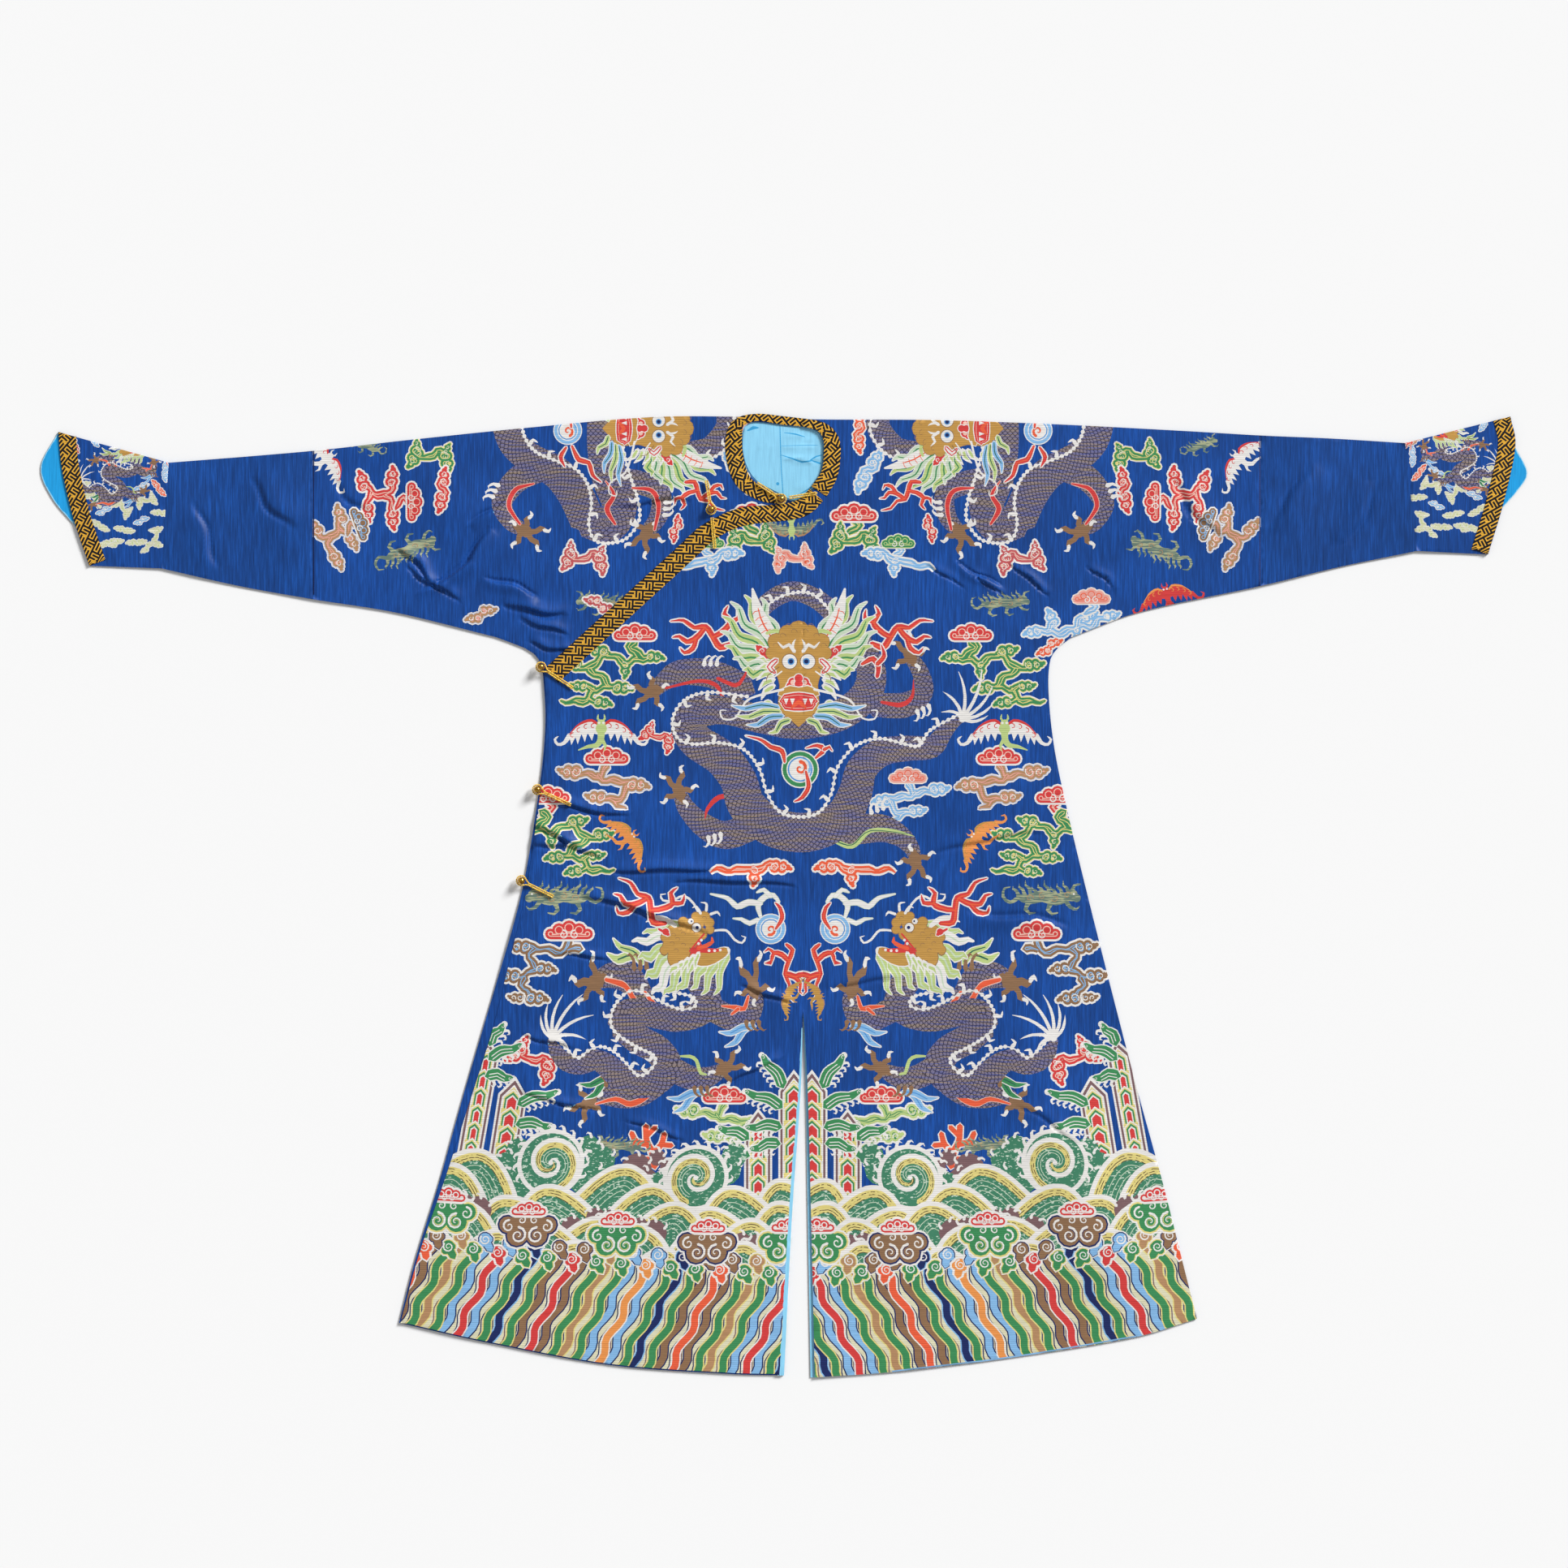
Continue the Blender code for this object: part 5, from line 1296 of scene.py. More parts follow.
# Creases pressed in by folding and by the way it lies: x0, y0, x1, y1, half width, height, lean
CREASES = (
    (-402, 416, -312, 400, 12, 6.5, 0.5), (-378, 388, -308, 378, 10, 5.0, 0.5),
    (-364, 362, -300, 346, 9, 4.5, 0.5), (-430, 452, -350, 430, 11, 4.5, -0.5),
    (-496, 444, -420, 526, 13, 5.5, -0.5), (-556, 496, -506, 446, 11, 5.0, 0.5),
    (-540, 470, -462, 420, 10, 4.5, 0.5), (-522, 432, -448, 484, 9, 3.5, -0.5),
    (-452, 536, -392, 574, 12, 3.5, -0.5), (-236, 552, -132, 562, 10, 3.5, 0.6),
    (246, 482, 312, 440, 9, 3.4, -0.5), (322, 478, 376, 424, 8, 3.2, 0.5),
    (262, 456, 318, 428, 7, 2.6, 0.5), (200, 470, 262, 442, 8, 2.0, 0.4), (430, 470, 470, 436, 8, 2.4, 0.5),
    (-250, 38, -96, 30, 10, 5.5, 0.6), (-160, 16, 18, 12, 9, 5.0, 0.6),
    (-292, -4, -108, -58, 11, 6.0, 0.6), (-366, 96, -262, 56, 10, 5.5, 0.6),
    (-346, 134, -220, 114, 9, 4.0, 0.5), (-86, -268, -6, -242, 10, 4.5, 0.6),
    (-64, -134, 14, -152, 9, 4.0, 0.6), (-330, -86, -250, -96, 9, 3.5, 0.6),
    (-366, 60, -286, 78, 12, 3.0, 0.5), (210, 60, 372, 84, 13, 3.0, 0.5),
    (260, -20, 408, -46, 15, 3.5, -0.5), (60, -140, 170, -120, 12, 2.5, 0.5),
    (-376, -280, -262, -312, 8, 3.6, 0.6), (-228, -326, -142, -348, 8, 3.2, 0.6),
    (-376, -196, -300, -222, 9, 2.6, 0.5), (330, -300, 420, -360, 12, 1.6, 0.4),
    (-760, 600, -700, 520, 20, 3.0, 0.4), (-850, 560, -800, 470, 18, 2.5, -0.4),
    (740, 620, 700, 520, 20, 3.0, 0.4), (840, 590, 815, 500, 18, 2.5, -0.4),
    (560, 600, 620, 500, 22, 3.0, 0.4), (-640, 600, -600, 540, 18, 2.0, 0.4),
)
CREASE_RISE = 1.35
# Broad swells of the loosely spread silk: x, y, half length, half width, turn, height
SWELLS = (
    (-480, 560, 170, 52, -40, 3.5), (-700, 540, 150, 60, -70, 3.0), (-880, 560, 120, 60, -80, 2.5),
    (-250, 610, 160, 50, -10, 2.0), (300, 580, 170, 60, 30, 3.0), (520, 560, 160, 56, 55, 3.5),
    (730, 560, 150, 60, 75, 3.0), (900, 590, 120, 60, 85, 2.5), (-180, 330, 190, 70, 20, 2.5),
    (240, 330, 190, 70, -25, 2.5), (-230, 110, 190, 60, 10, 3.0), (230, 160, 200, 60, -8, 2.5),
    (-270, -90, 210, 70, -12, 3.0), (270, -110, 210, 70, 14, 3.0), (-330, -330, 220, 80, 70, 4.0),
    (-120, -400, 230, 70, 84, 3.0), (150, -420, 240, 70, -84, 3.0), (390, -350, 230, 80, -68, 4.0),
    (-420, -520, 130, 70, 60, 3.0), (480, -520, 130, 70, -60, 3.0), (30, 250, 160, 90, 0, 1.5),
)


def crease_bend(t, x0, y0, half):
    """How far a crease strays from its straight line, by how far along it is."""
    return 0.45 * half * np.sin(3 * t + x0) + 0.15 * half * np.sin(9 * t + y0)


def along_line(x, y, x0, y0, x1, y1):
    """Share of the way along a line, and distance to its left, of each point."""
    length = math.hypot(x1 - x0, y1 - y0)
    ax, ay = (x1 - x0) / length, (y1 - y0) / length
    return ((x - x0) * ax + (y - y0) * ay) / length, (y - y0) * ax - (x - x0) * ay


def crease_height(x, y):
    """Height that the creases add: each a soft ridge beside a narrow trough, tapering to both ends."""
    total = np.zeros_like(x)
    for x0, y0, x1, y1, half, height, lean in CREASES:
        t, aside = along_line(x, y, x0, y0, x1, y1)
        away = (aside + crease_bend(t, x0, y0, half)) / half * (1 if lean > 0 else -1)
        inside_it = (t > 0) & (t < 1) & (np.abs(away) < 3)
        ridge = 0.78 * np.exp(-((away - 0.52) / np.where(away > 0.52, 0.95, 0.34)) ** 2)
        trough = 0.6 * np.exp(-((away + 0.04) / 0.22) ** 2)
        taper = np.sin(math.pi * np.clip(t, 0, 1)) ** 0.7
        total += np.where(inside_it, CREASE_RISE * height * taper * (ridge - trough), 0.0)
    return total


def swell_height(x, y):
    total = np.zeros_like(x)
    for cx, cy, long, wide, turn, height in SWELLS:
        c, s = math.cos(math.radians(turn)), math.sin(math.radians(turn))
        u = ((x - cx) * c + (y - cy) * s) / long
        v = ((y - cy) * c - (x - cx) * s) / wide
        total += height * np.exp(-1.6 * (u * u + v * v))
    return total


def loose(x, y):
    """How far the upper layers stand above their pressed height."""
    weave = 0.35 * np.sin(x / 47 + 1.3 * np.sin(y / 61)) * np.sin(y / 53 + np.sin(x / 38))
    return np.maximum(swell_height(x, y) + crease_height(x, y) + 0.7 + weave, -0.4)


def front_height(x, y):
    return FRONT_TOP + loose(x, y)


def left_height(x, y):
    """The wearer's left front rises to meet the overlap at the centre seam."""
    s = np.clip((x - CENTRE_X) / LIFT_REACH, 0, 1)
    return front_height(x, y) + (OVERLAP_TOP - FRONT_TOP) * (1 - s * s * (3 - 2 * s))


def overlap_height(x, y):
    return front_height(x, y) + OVERLAP_TOP - FRONT_TOP


def band_height(x, y):
    return np.where(x > CENTRE_X, left_height(x, y), overlap_height(x, y))


def neck_height(x, y):
    return np.where(x > CENTRE_X, left_height(x, y), front_height(x, y))


def on_top(height):
    """Height of a band's face above the cloth it is sewn to."""
    return lambda x, y: height(x, y) + GAP + TRIM


def back_top(x, y):
    """Face of the back, which lies on the table but for shallow pressed creases; it is built face up."""
    return -0.35 * np.clip(crease_height(0.9 * x + 30, 0.9 * y - 60), 0, 2.2) - 0.02


def cuff_lining_height(x, y):
    return SHEET + GAP + 0.9 + 0 * x


def lining_level(x, y):
    return SHEET + GAP + 0.7 + 0 * x


def over_lining_level(x, y):
    return FRONT_TOP + GAP + 0.6 + loose(x, y)


# ---------------------------------------------------------------- cut cloth

OUTSIDE = -9
# No two points of a net lie closer than this
NEAREST = 1.15
# Shapes smaller than this many squares of the thinning's size are left out
LEAST_SHAPE = 24
# The cloth's edge rolls over within this distance of its outline
ROLL = 3.0
# Rows of points along a crease, in half widths from its middle, and the step between their points
CREASE_ROWS = (-1.4, -1.0, -0.7, -0.45, -0.3, -0.17, -0.04, 0.09, 0.22, 0.36, 0.52, 0.7, 0.95, 1.25, 1.6, 2.0)
CREASE_STEP = 6.0
# Rows of points inside an outline: distance from it, and which points of it to start from
EDGE_ROWS = ((1.4, 0), (3.2, 1), (6.5, 0))
# Bake layout: the painted skin's share of the square, the other skin's, its left edge, and the margin
PAINTED_UV, REVERSE_UV, REVERSE_LEFT, UV_MARGIN = 0.88, 0.09, 0.9, 0.005


def triangulate(points, edges):
    spots = [Vector(p) for p in points.tolist()]
    result = delaunay_2d_cdt(spots, [tuple(e) for e in edges.tolist()], [], 0, 0.004, False)
    corners = np.array([tuple(p) for p in result[0]])
    faces = np.array([f for f in result[2] if len(f) == 3])
    a, b, c = (corners[faces[:, k]] for k in range(3))
    area = (b[:, 0] - a[:, 0]) * (c[:, 1] - a[:, 1]) - (c[:, 0] - a[:, 0]) * (b[:, 1] - a[:, 1])
    faces[area < 0] = faces[area < 0][:, ::-1]
    return corners, faces[np.abs(area) > 1e-7]


def thinned(outline, most=0.2):
    """An outline without the points that stray from the line between their neighbours by less than this."""
    for _ in range(3):
        if len(outline) < 7:
            break
        before, after = np.roll(outline, 1, 0), np.roll(outline, -1, 0)
        chord = after - before
        gap = outline - before
        stray = np.abs(chord[:, 0] * gap[:, 1] - chord[:, 1] * gap[:, 0]) / np.maximum(np.hypot(*chord.T),
            1e-9)
        spare = (stray < most) & (np.hypot(*chord.T) < 14) & (np.arange(len(outline)) % 2 == 1)
        outline = outline[~spare]
    return outline


def twice_area(outline):
    """Twice a loop's area, below zero where it runs clockwise."""
    x, y = outline[:, 0], outline[:, 1]
    return float(np.sum(x * np.roll(y, -1) - np.roll(x, -1) * y))


def area_of(outline):
    return abs(twice_area(outline)) / 2


def loops_edges(loops):
    """All points of closed loops, and the edges round each."""
    edges, start = [], 0
    for loop in loops:
        index = np.arange(len(loop))
        edges.append(np.stack([start + index, start + np.roll(index, -1)], 1))
        start += len(loop)
    return np.vstack(loops), np.vstack(edges)


def borders(faces, colour):
    """Edges whose two faces differ in colour, with OUTSIDE beyond the last face."""
    most = int(faces.max()) + 1
    ends = np.concatenate([faces[:, [0, 1]], faces[:, [1, 2]], faces[:, [2, 0]]])
    key = ends.min(1).astype(np.int64) * most + ends.max(1)
    order = np.argsort(key, kind="stable")
    key, colour = key[order], np.tile(colour, 3)[order]
    first = np.flatnonzero(np.r_[True, key[1:] != key[:-1]])
    last = np.r_[first[1:], len(key)] - 1
    differs = (colour[first] != colour[last]) | ((first == last) & (colour[first] != OUTSIDE))
    kept = key[first[differs]]
    return np.stack([kept // most, kept % most], 1)


def painted(points, shapes):
    """Index of the last shape over each point, or -1."""
    order = np.argsort(points[:, 0])
    xs, ys = points[order, 0], points[order, 1]
    owner = np.full(len(points), -1)
    for i, (outline, _, _) in enumerate(shapes):
        low, high = outline.min(0), outline.max(0)
        a, b = np.searchsorted(xs, (low[0], high[0]))
        near = a + np.flatnonzero((ys[a:b] >= low[1]) & (ys[a:b] <= high[1]))
        if len(near):
            owner[near[inside(outline, points[order[near]])]] = i
    result = np.empty_like(owner)
    result[order] = owner
    return result


def within(outline, holes, points):
    hit = inside(outline, points)
    for hole in holes:
        hit &= ~inside(hole, points)
    return hit


def grid_points(outline, grid, creases):
    """Points for the sheet to bend at: an even net, finer over creases, and rows inside the edge."""
    low, high = outline.min(0), outline.max(0)
    xs = np.arange(low[0], high[0], grid)
    ys = np.arange(low[1], high[1], grid * 0.87)
    net = np.array([(x + 0.5 * grid * (j % 2), y) for j, y in enumerate(ys) for x in xs])
    rows = []
    for x0, y0, x1, y1, half, _, lean in creases:
        length = math.hypot(x1 - x0, y1 - y0)
        along = np.array([x1 - x0, y1 - y0]) / length
        across = np.array([-along[1], along[0]])
        for k, away in enumerate(CREASE_ROWS):
            t = np.arange(CREASE_STEP / 2 * (k % 2), length, CREASE_STEP)[:, None]
            strayed = away * half * (1 if lean > 0 else -1) - crease_bend(t / length, x0, y0, half)
            rows.append(np.array([x0, y0]) + along * t + across * strayed)
    rows.append(net)
    return np.vstack(rows)


def edge_rows(outline, hand):
    """Rows of points just inside an outline, where the cloth rolls over its edge."""
    fine = smooth(outline, 9.0, closed=True)
    across = normals_of(fine, closed=True) * hand
    return [fine[k::2] + across[k::2] * inset for inset, k in EDGE_ROWS]


def edge_distance(loops, points, most=8.0):
    """Distance to the nearest loop, up to a limit."""
    best = np.full(len(points), most)
    order = np.argsort(points[:, 0])
    xs = points[order, 0]
    for loop in loops:
        for a, b in zip(loop, np.roll(loop, -1, 0)):
            i, j = np.searchsorted(xs, (min(a[0], b[0]) - most, max(a[0], b[0]) + most))
            pick = order[i:j]
            along = b - a
            size = max(float(along @ along), 1e-9)
            t = np.clip(((points[pick] - a) @ along) / size, 0, 1)
            gap = points[pick] - a - t[:, None] * along
            best[pick] = np.minimum(best[pick], np.hypot(gap[:, 0], gap[:, 1]))
    return best


def rolled(distance, drop=1.2):
    """How far the surface falls towards an edge, as a quarter round."""
    d = np.clip(distance / ROLL, 0, 1)
    return drop * (1 - np.sqrt(1 - (1 - d) ** 2))


def unit_rows(rows):
    return rows / np.maximum(np.linalg.norm(rows, axis=1, keepdims=True), 1e-12)


def slopes_of(height, points):
    """Unit normals of the surface z = height(x, y)."""
    x, y = points[:, 0], points[:, 1]
    dx = (height(x + 1, y) - height(x - 1, y)) / 2
    dy = (height(x, y + 1) - height(x, y - 1)) / 2
    return unit_rows(np.stack([-dx, -dy, np.ones_like(dx)], 1))


def grain_of(path, points):
    """Distance along a stroke's path and across it, in metres, at each point."""
    index = np.argmin(((points[:, None, :] - path[None, :, :2]) ** 2).sum(2), axis=1)
    steps = np.hypot(*np.diff(path[:, :2], axis=0).T)
    run = np.r_[0, np.cumsum(steps)]
    side = normals_of(path)
    gap = points - path[index, :2]
    ahead = np.stack([side[index, 1], -side[index, 0]], 1)
    along = run[index] + (gap * ahead).sum(1)
    return np.stack([along, (gap * side[index]).sum(1)], 1) * MM


def walls(faces, under):
    """Four-cornered faces from each outer edge down to the points under it."""
    ends = np.concatenate([faces[:, [0, 1]], faces[:, [1, 2]], faces[:, [2, 0]]])
    key = {(a, b) for a, b in ends.tolist()}
    outer = [(a, b) for a, b in key if (b, a) not in key]
    return np.array([(b, a, under[a], under[b]) for a, b in sorted(outer)])


def reversed_corners(rows, size):
    """Rows of each face's corners in the order that flipping the face gives: the first stays first."""
    block = rows.reshape(-1, size, 3)
    return np.concatenate([block[:, :1], block[:, :0:-1]], 1).reshape(-1, 3)


def put(name, data):
    """A new object in the scene."""
    obj = bpy.data.objects.new(name, data)
    bpy.context.scene.collection.objects.link(obj)
    return obj


class Cloth:
    """Gathers a sheet's faces, their yarns and coordinates, then makes the mesh."""

    def __init__(self, name, outline, height, ground, reverse, shapes=(), holes=(), grid=16.0,
                 down=False, thick=SHEET, drop=1.2, fine=0.5):
        outline = np.array(outline, float)
        self.loops = [outline] + [np.array(h, float) for h in holes]
        low, high = outline.min(0), outline.max(0)
        shapes = [(thinned(s[0], fine), s[1], s[2]) for s in shapes if (s[0].max(0) > low).all()
                  and (s[0].min(0) < high).all() and area_of(s[0]) > LEAST_SHAPE * fine * fine]
        points, edges = loops_edges([s[0] for s in shapes] + self.loops)
        points, faces = triangulate(points, edges)
        colour, _ = self.colours(points, faces, shapes)
        kept = borders(faces, colour)
        used, edges = np.unique(kept, return_inverse=True)
        lines = points[used]
        edges = edges.reshape(-1, 2)
        spots = self.clear_of(lines, self.spots(grid, down))
        points, faces = triangulate(np.vstack([lines, spots]), edges)
        colour, owner = self.colours(points, faces, shapes)
        inside_it = colour != OUTSIDE
        faces, colour, owner = faces[inside_it], colour[inside_it], owner[inside_it]
        rim = borders(faces, np.zeros(len(faces), int))
        rim_used, rim_edges = np.unique(rim, return_inverse=True)
        rim_edges = rim_edges.reshape(-1, 2)
        rim_points = points[rim_used]
        spots = self.clear_of(rim_points, self.spots(grid, down))
        base, base_faces = triangulate(np.vstack([rim_points, spots]), rim_edges)
        if not np.allclose(base[: len(rim_points)], rim_points, atol=0.01):
            raise RuntimeError(name + ": the two skins do not share their edge")
        base_faces = base_faces[within(outline, self.loops[1:], base[base_faces].mean(1))]
        self.build(name, height, points, faces, colour, owner, shapes, base, base_faces, rim_used, ground,
                   reverse, down, thick, drop)

    def colours(self, points, faces, shapes):
        """Yarn of each face as an index into YARNS, -1 for the ground, and the shape it lies in."""
        centres = points[faces].mean(1)
        owner = painted(centres, shapes)
        yarns = np.array([YARN_INDEX[s[1]] for s in shapes] + [-1])
        colour = yarns[owner]
        colour[~within(self.loops[0], self.loops[1:], centres)] = OUTSIDE
        return colour, owner

    def spots(self, grid, down):
        rows = [grid_points(self.loops[0], grid, () if down else CREASES)]
        for loop, hand in zip(self.loops, (1, -1, -1, -1)):
            rows += edge_rows(loop, hand if twice_area(loop) > 0 else -hand)
        spots = np.vstack(rows)
        return spots[within(self.loops[0], self.loops[1:], spots)]

    def clear_of(self, lines, spots):
        """Spots with no drawn line's point, and no earlier spot, right beside them."""
        taken = {tuple(c) for c in np.floor(lines / NEAREST).astype(int).tolist()}
        kept = []
        for spot, (i, j) in zip(spots, np.floor(spots / NEAREST).astype(int).tolist()):
            if not any((i + a, j + b) in taken for a in (-1, 0, 1) for b in (-1, 0, 1)):
                taken.add((i, j))
                kept.append(spot)
        return np.array(kept).reshape(-1, 2)

    def build(self, name, height, points, faces, colour, owner, shapes, base, base_faces, rim_used, ground,
              reverse, down, thick, drop):
        """Makes the object: its painted skin, the plain skin under it and the walls between them."""
        top_z = height(points[:, 0], points[:, 1]) - rolled(edge_distance(self.loops, points), drop=drop)
        base_z = height(base[:, 0], base[:, 1]) - rolled(edge_distance(self.loops, base), drop=drop) - thick
        places = np.vstack([np.column_stack([points, top_z]), np.column_stack([base, base_z])])
        start = len(points)
        under = {a: start + i for i, a in enumerate(rim_used.tolist())}
        sides = walls(faces, under)
        back = base_faces[:, ::-1] + start
        triangles = len(faces) + len(back)
        yarns = [ground] + [y for y in YARNS if YARN_INDEX[y] in set(colour.tolist())] + [reverse]
        slot = {YARN_INDEX.get(y, -1): k for k, y in enumerate(yarns[:-1])}
        slot[-1] = 0
        mesh = bpy.data.meshes.new(name)
        if down:
            # built painted side up, then turned over to lie painted side down
            places[:, 2] *= -1
        mesh.from_pydata((places * MM).tolist(), [], faces.tolist() + back.tolist() + sides.tolist())
        index = [slot[c] for c in colour.tolist()] + [len(yarns) - 1] * len(back) + [0] * len(sides)
        mesh.polygons.foreach_set("material_index", index)
        mesh.polygons.foreach_set("use_smooth", [True] * len(index))
        for yarn in yarns:
            mesh.materials.append(yarn_material(yarn))
        loops = np.concatenate([faces.ravel(), back.ravel(), sides.ravel()])
        normals = np.vstack([self.painted_normals(height, points, drop), -slopes_of(height, base)])[loops]
        corners = places[sides]
        flat = unit_rows(np.cross(corners[:, 1] - corners[:, 0], corners[:, 2] - corners[:, 0]))
        normals[triangles * 3:] = np.repeat(flat, 4, axis=0)
        layer = mesh.uv_layers.new(name="OFBake")
        layer.data.foreach_set("uv", self.bake_layout(points, base, under, loops, triangles * 3).ravel())
        self.lay_grain(mesh, points, faces, owner, shapes)
        if down:
            mesh.flip_normals()
            normals[:, 2] *= -1
            normals = np.vstack([reversed_corners(normals[: triangles * 3], 3),
                                 reversed_corners(normals[triangles * 3:], 4)])
        mesh.normals_split_custom_set(normals.tolist())
        self.area = float(sum(0.5 * np.linalg.norm(np.cross(places[faces[:, 1]] - places[faces[:, 0]],
            places[faces[:, 2]] - places[faces[:, 0]]), axis=1)) * 1e-6)
        self.obj = put(name, mesh)

    def painted_normals(self, height, points, drop):
        """Normals of the painted skin, leaning out where it rolls over its edge."""
        normals = slopes_of(height, points)
        near = np.flatnonzero(edge_distance(self.loops, points) < ROLL)
        lean = [rolled(edge_distance(self.loops, points[near] + shift), drop=drop)
                for shift in ((0.3, 0), (-0.3, 0), (0, 0.3), (0, -0.3))]
        normals[near, 0] += np.clip((lean[0] - lean[1]) / 0.6, -1.5, 1.5)
        normals[near, 1] += np.clip((lean[2] - lean[3]) / 0.6, -1.5, 1.5)
        return unit_rows(normals)

    def bake_layout(self, points, base, under, loops, first_wall):
        """Places of all corners on the bake: the painted skin and walls at large, the plain skin small."""
        low, high = self.loops[0].min(0), self.loops[0].max(0)
        span = float((high - low).max())
        painted_uv = (points - low) / span * PAINTED_UV + UV_MARGIN
        reverse_uv = (base - low) / span * REVERSE_UV + (REVERSE_LEFT, UV_MARGIN)
        layout = np.vstack([painted_uv, reverse_uv])[loops]
        above = {lower: upper for upper, lower in under.items()}
        layout[first_wall:] = [painted_uv[above.get(i, i)] for i in loops[first_wall:].tolist()]
        return layout

    def lay_grain(self, mesh, points, faces, owner, shapes):
        """Coordinates along and across each scaled body, for its scales."""
        layer = mesh.uv_layers.new(name="Grain")
        values = np.zeros((len(mesh.loops), 2))
        for i, (_, _, path) in enumerate(shapes):
            if path is None:
                continue
            mine = np.flatnonzero(owner == i)
            if len(mine):
                corners = (mine[:, None] * 3 + np.arange(3)).ravel()
                values[corners] = grain_of(path, points[faces[mine].ravel()])
        layer.data.foreach_set("uv", values.ravel())


# ---------------------------------------------------------------- outlines of the cut pieces


def curve_of(table, start, end, step, upright=False):
    """Points along a table's curve: y at x, or x at y when it is upright."""
    rows = [(t, interpolate(table, t)) for t in spread(start, end, step)]
    return np.array([(v, t) if upright else (t, v) for t, v in rows])


def moved(path, amount):
    """A path shifted to its left by amount."""
    return path + normals_of(path) * amount


def half_edges(side):
    """Edges of one half of the robe, in order: shoulder, underarm and side, hem, vent."""
    if side == "right":
        seam, under, flank, hem, vent = (
            RIGHT_SLEEVE_SEAM, RIGHT_UNDERARM, RIGHT_SIDE, RIGHT_HEM, RIGHT_VENT)
    else:
        seam, under, flank, hem, vent = (
            LEFT_SLEEVE_SEAM, LEFT_UNDERARM, LEFT_SIDE, LEFT_HEM, LEFT_VENT)
    shoulder = curve_of(SHOULDER, CENTRE_X, seam, 12)
    below = curve_of(under, seam, under[-1][0], 12)
    armpit = curve_of(flank, flank[0][0], flank[3][0], 8, True)
    down = curve_of(flank, flank[3][0], flank[-1][0], 14, True)
    bottom = curve_of(hem, hem[0][0], hem[-1][0], 12)
    slit = curve_of(vent, vent[-1][0], vent[0][0], 12, True)
    return shoulder, np.vstack([below, armpit[1:], down[1:]]), bottom, slit


def vent_margin(y):
    """Width of lining that shows beside the centre vent at height y, growing towards the hem."""
    depth = (VENT_TOP - y) / (VENT_TOP - RIGHT_VENT[-1][0])
    return VENT_LINING * np.sqrt(np.clip(depth, 0, 1))


def moved_loop(loop, amount):
    """A closed loop shrunk by amount."""
    across = normals_of(loop, closed=True)
    return loop + across * amount * np.sign(twice_area(loop))


def closed_loop(*paths, least=0.5):
    """Paths joined into one loop, without points that repeat."""
    points = np.vstack(paths)
    gap = np.hypot(*(points - np.roll(points, 1, 0)).T)
    return points[gap > least]


def half_outline(side, show_lining=False):
    shoulder, flank, bottom, slit = half_edges(side)
    if show_lining:
        slit = slit + np.column_stack([vent_margin(slit[:, 1]), np.zeros(len(slit))])
    centre = np.column_stack([np.full(60, CENTRE_X), np.linspace(VENT_TOP, shoulder[0, 1], 62)[1:-1]])
    return closed_loop(shoulder, flank, bottom[:-1], slit, centre)


def overlap_outline():
    """The front panel that crosses to the wearer's right, from the centre seam to the side."""
    _, _, bottom, slit = half_edges("right")
    band = smooth(OVERLAP_BAND[1:], 9)
    ahead = np.diff(band[:, :2], axis=0)
    ahead /= np.hypot(*ahead.T)[:, None]
    upper = band[:-1, :2] + np.column_stack([ahead[:, 1], -ahead[:, 0]]) * (band[:-1, 2:3] - 2)
    side_x = np.array([interpolate(RIGHT_SIDE, y) for y in upper[:, 1]])
    upper = upper[(upper[:, 0] < CENTRE_X - 2) & (upper[:, 0] > side_x + 3)]
    side = [(interpolate(RIGHT_SIDE, y) + interpolate(OVERLAP_INSET, y), y)
            for y in spread(upper[-1, 1] - 4, RIGHT_SIDE[-1][0], 14)]
    hem = bottom[(bottom[:, 0] > side[-1][0] + 6) & (bottom[:, 0] < bottom[-1, 0] - 8)] + (0, 2)
    vent = slit - np.column_stack([vent_margin(slit[:, 1]), np.zeros(len(slit))])
    centre = np.column_stack([np.full(70, CENTRE_X), np.linspace(VENT_TOP, 561.0, 72)[1:-1]])
    return closed_loop([(CENTRE_X, 561.0)], upper, np.array(side), hem, vent, centre)


def sleeve_outline(side):
    """Plain silk length between the brocade sleeve and the cuff."""
    if side == "right":
        seam, under, cuff = RIGHT_SLEEVE_SEAM, RIGHT_UNDERARM, RIGHT_CUFF_SEAM
    else:
        seam, under, cuff = LEFT_SLEEVE_SEAM, LEFT_UNDERARM, LEFT_CUFF_SEAM
    top = curve_of(SHOULDER, cuff[0][0], seam, 12)
    low = curve_of(under, cuff[1][0], seam, 12)
    inner_end = np.linspace(top[-1], low[-1], 16)[1:-1]
    outer_end = np.linspace(low[0], top[0], 14)[1:-1]
    return closed_loop(top, inner_end, low[::-1], outer_end)


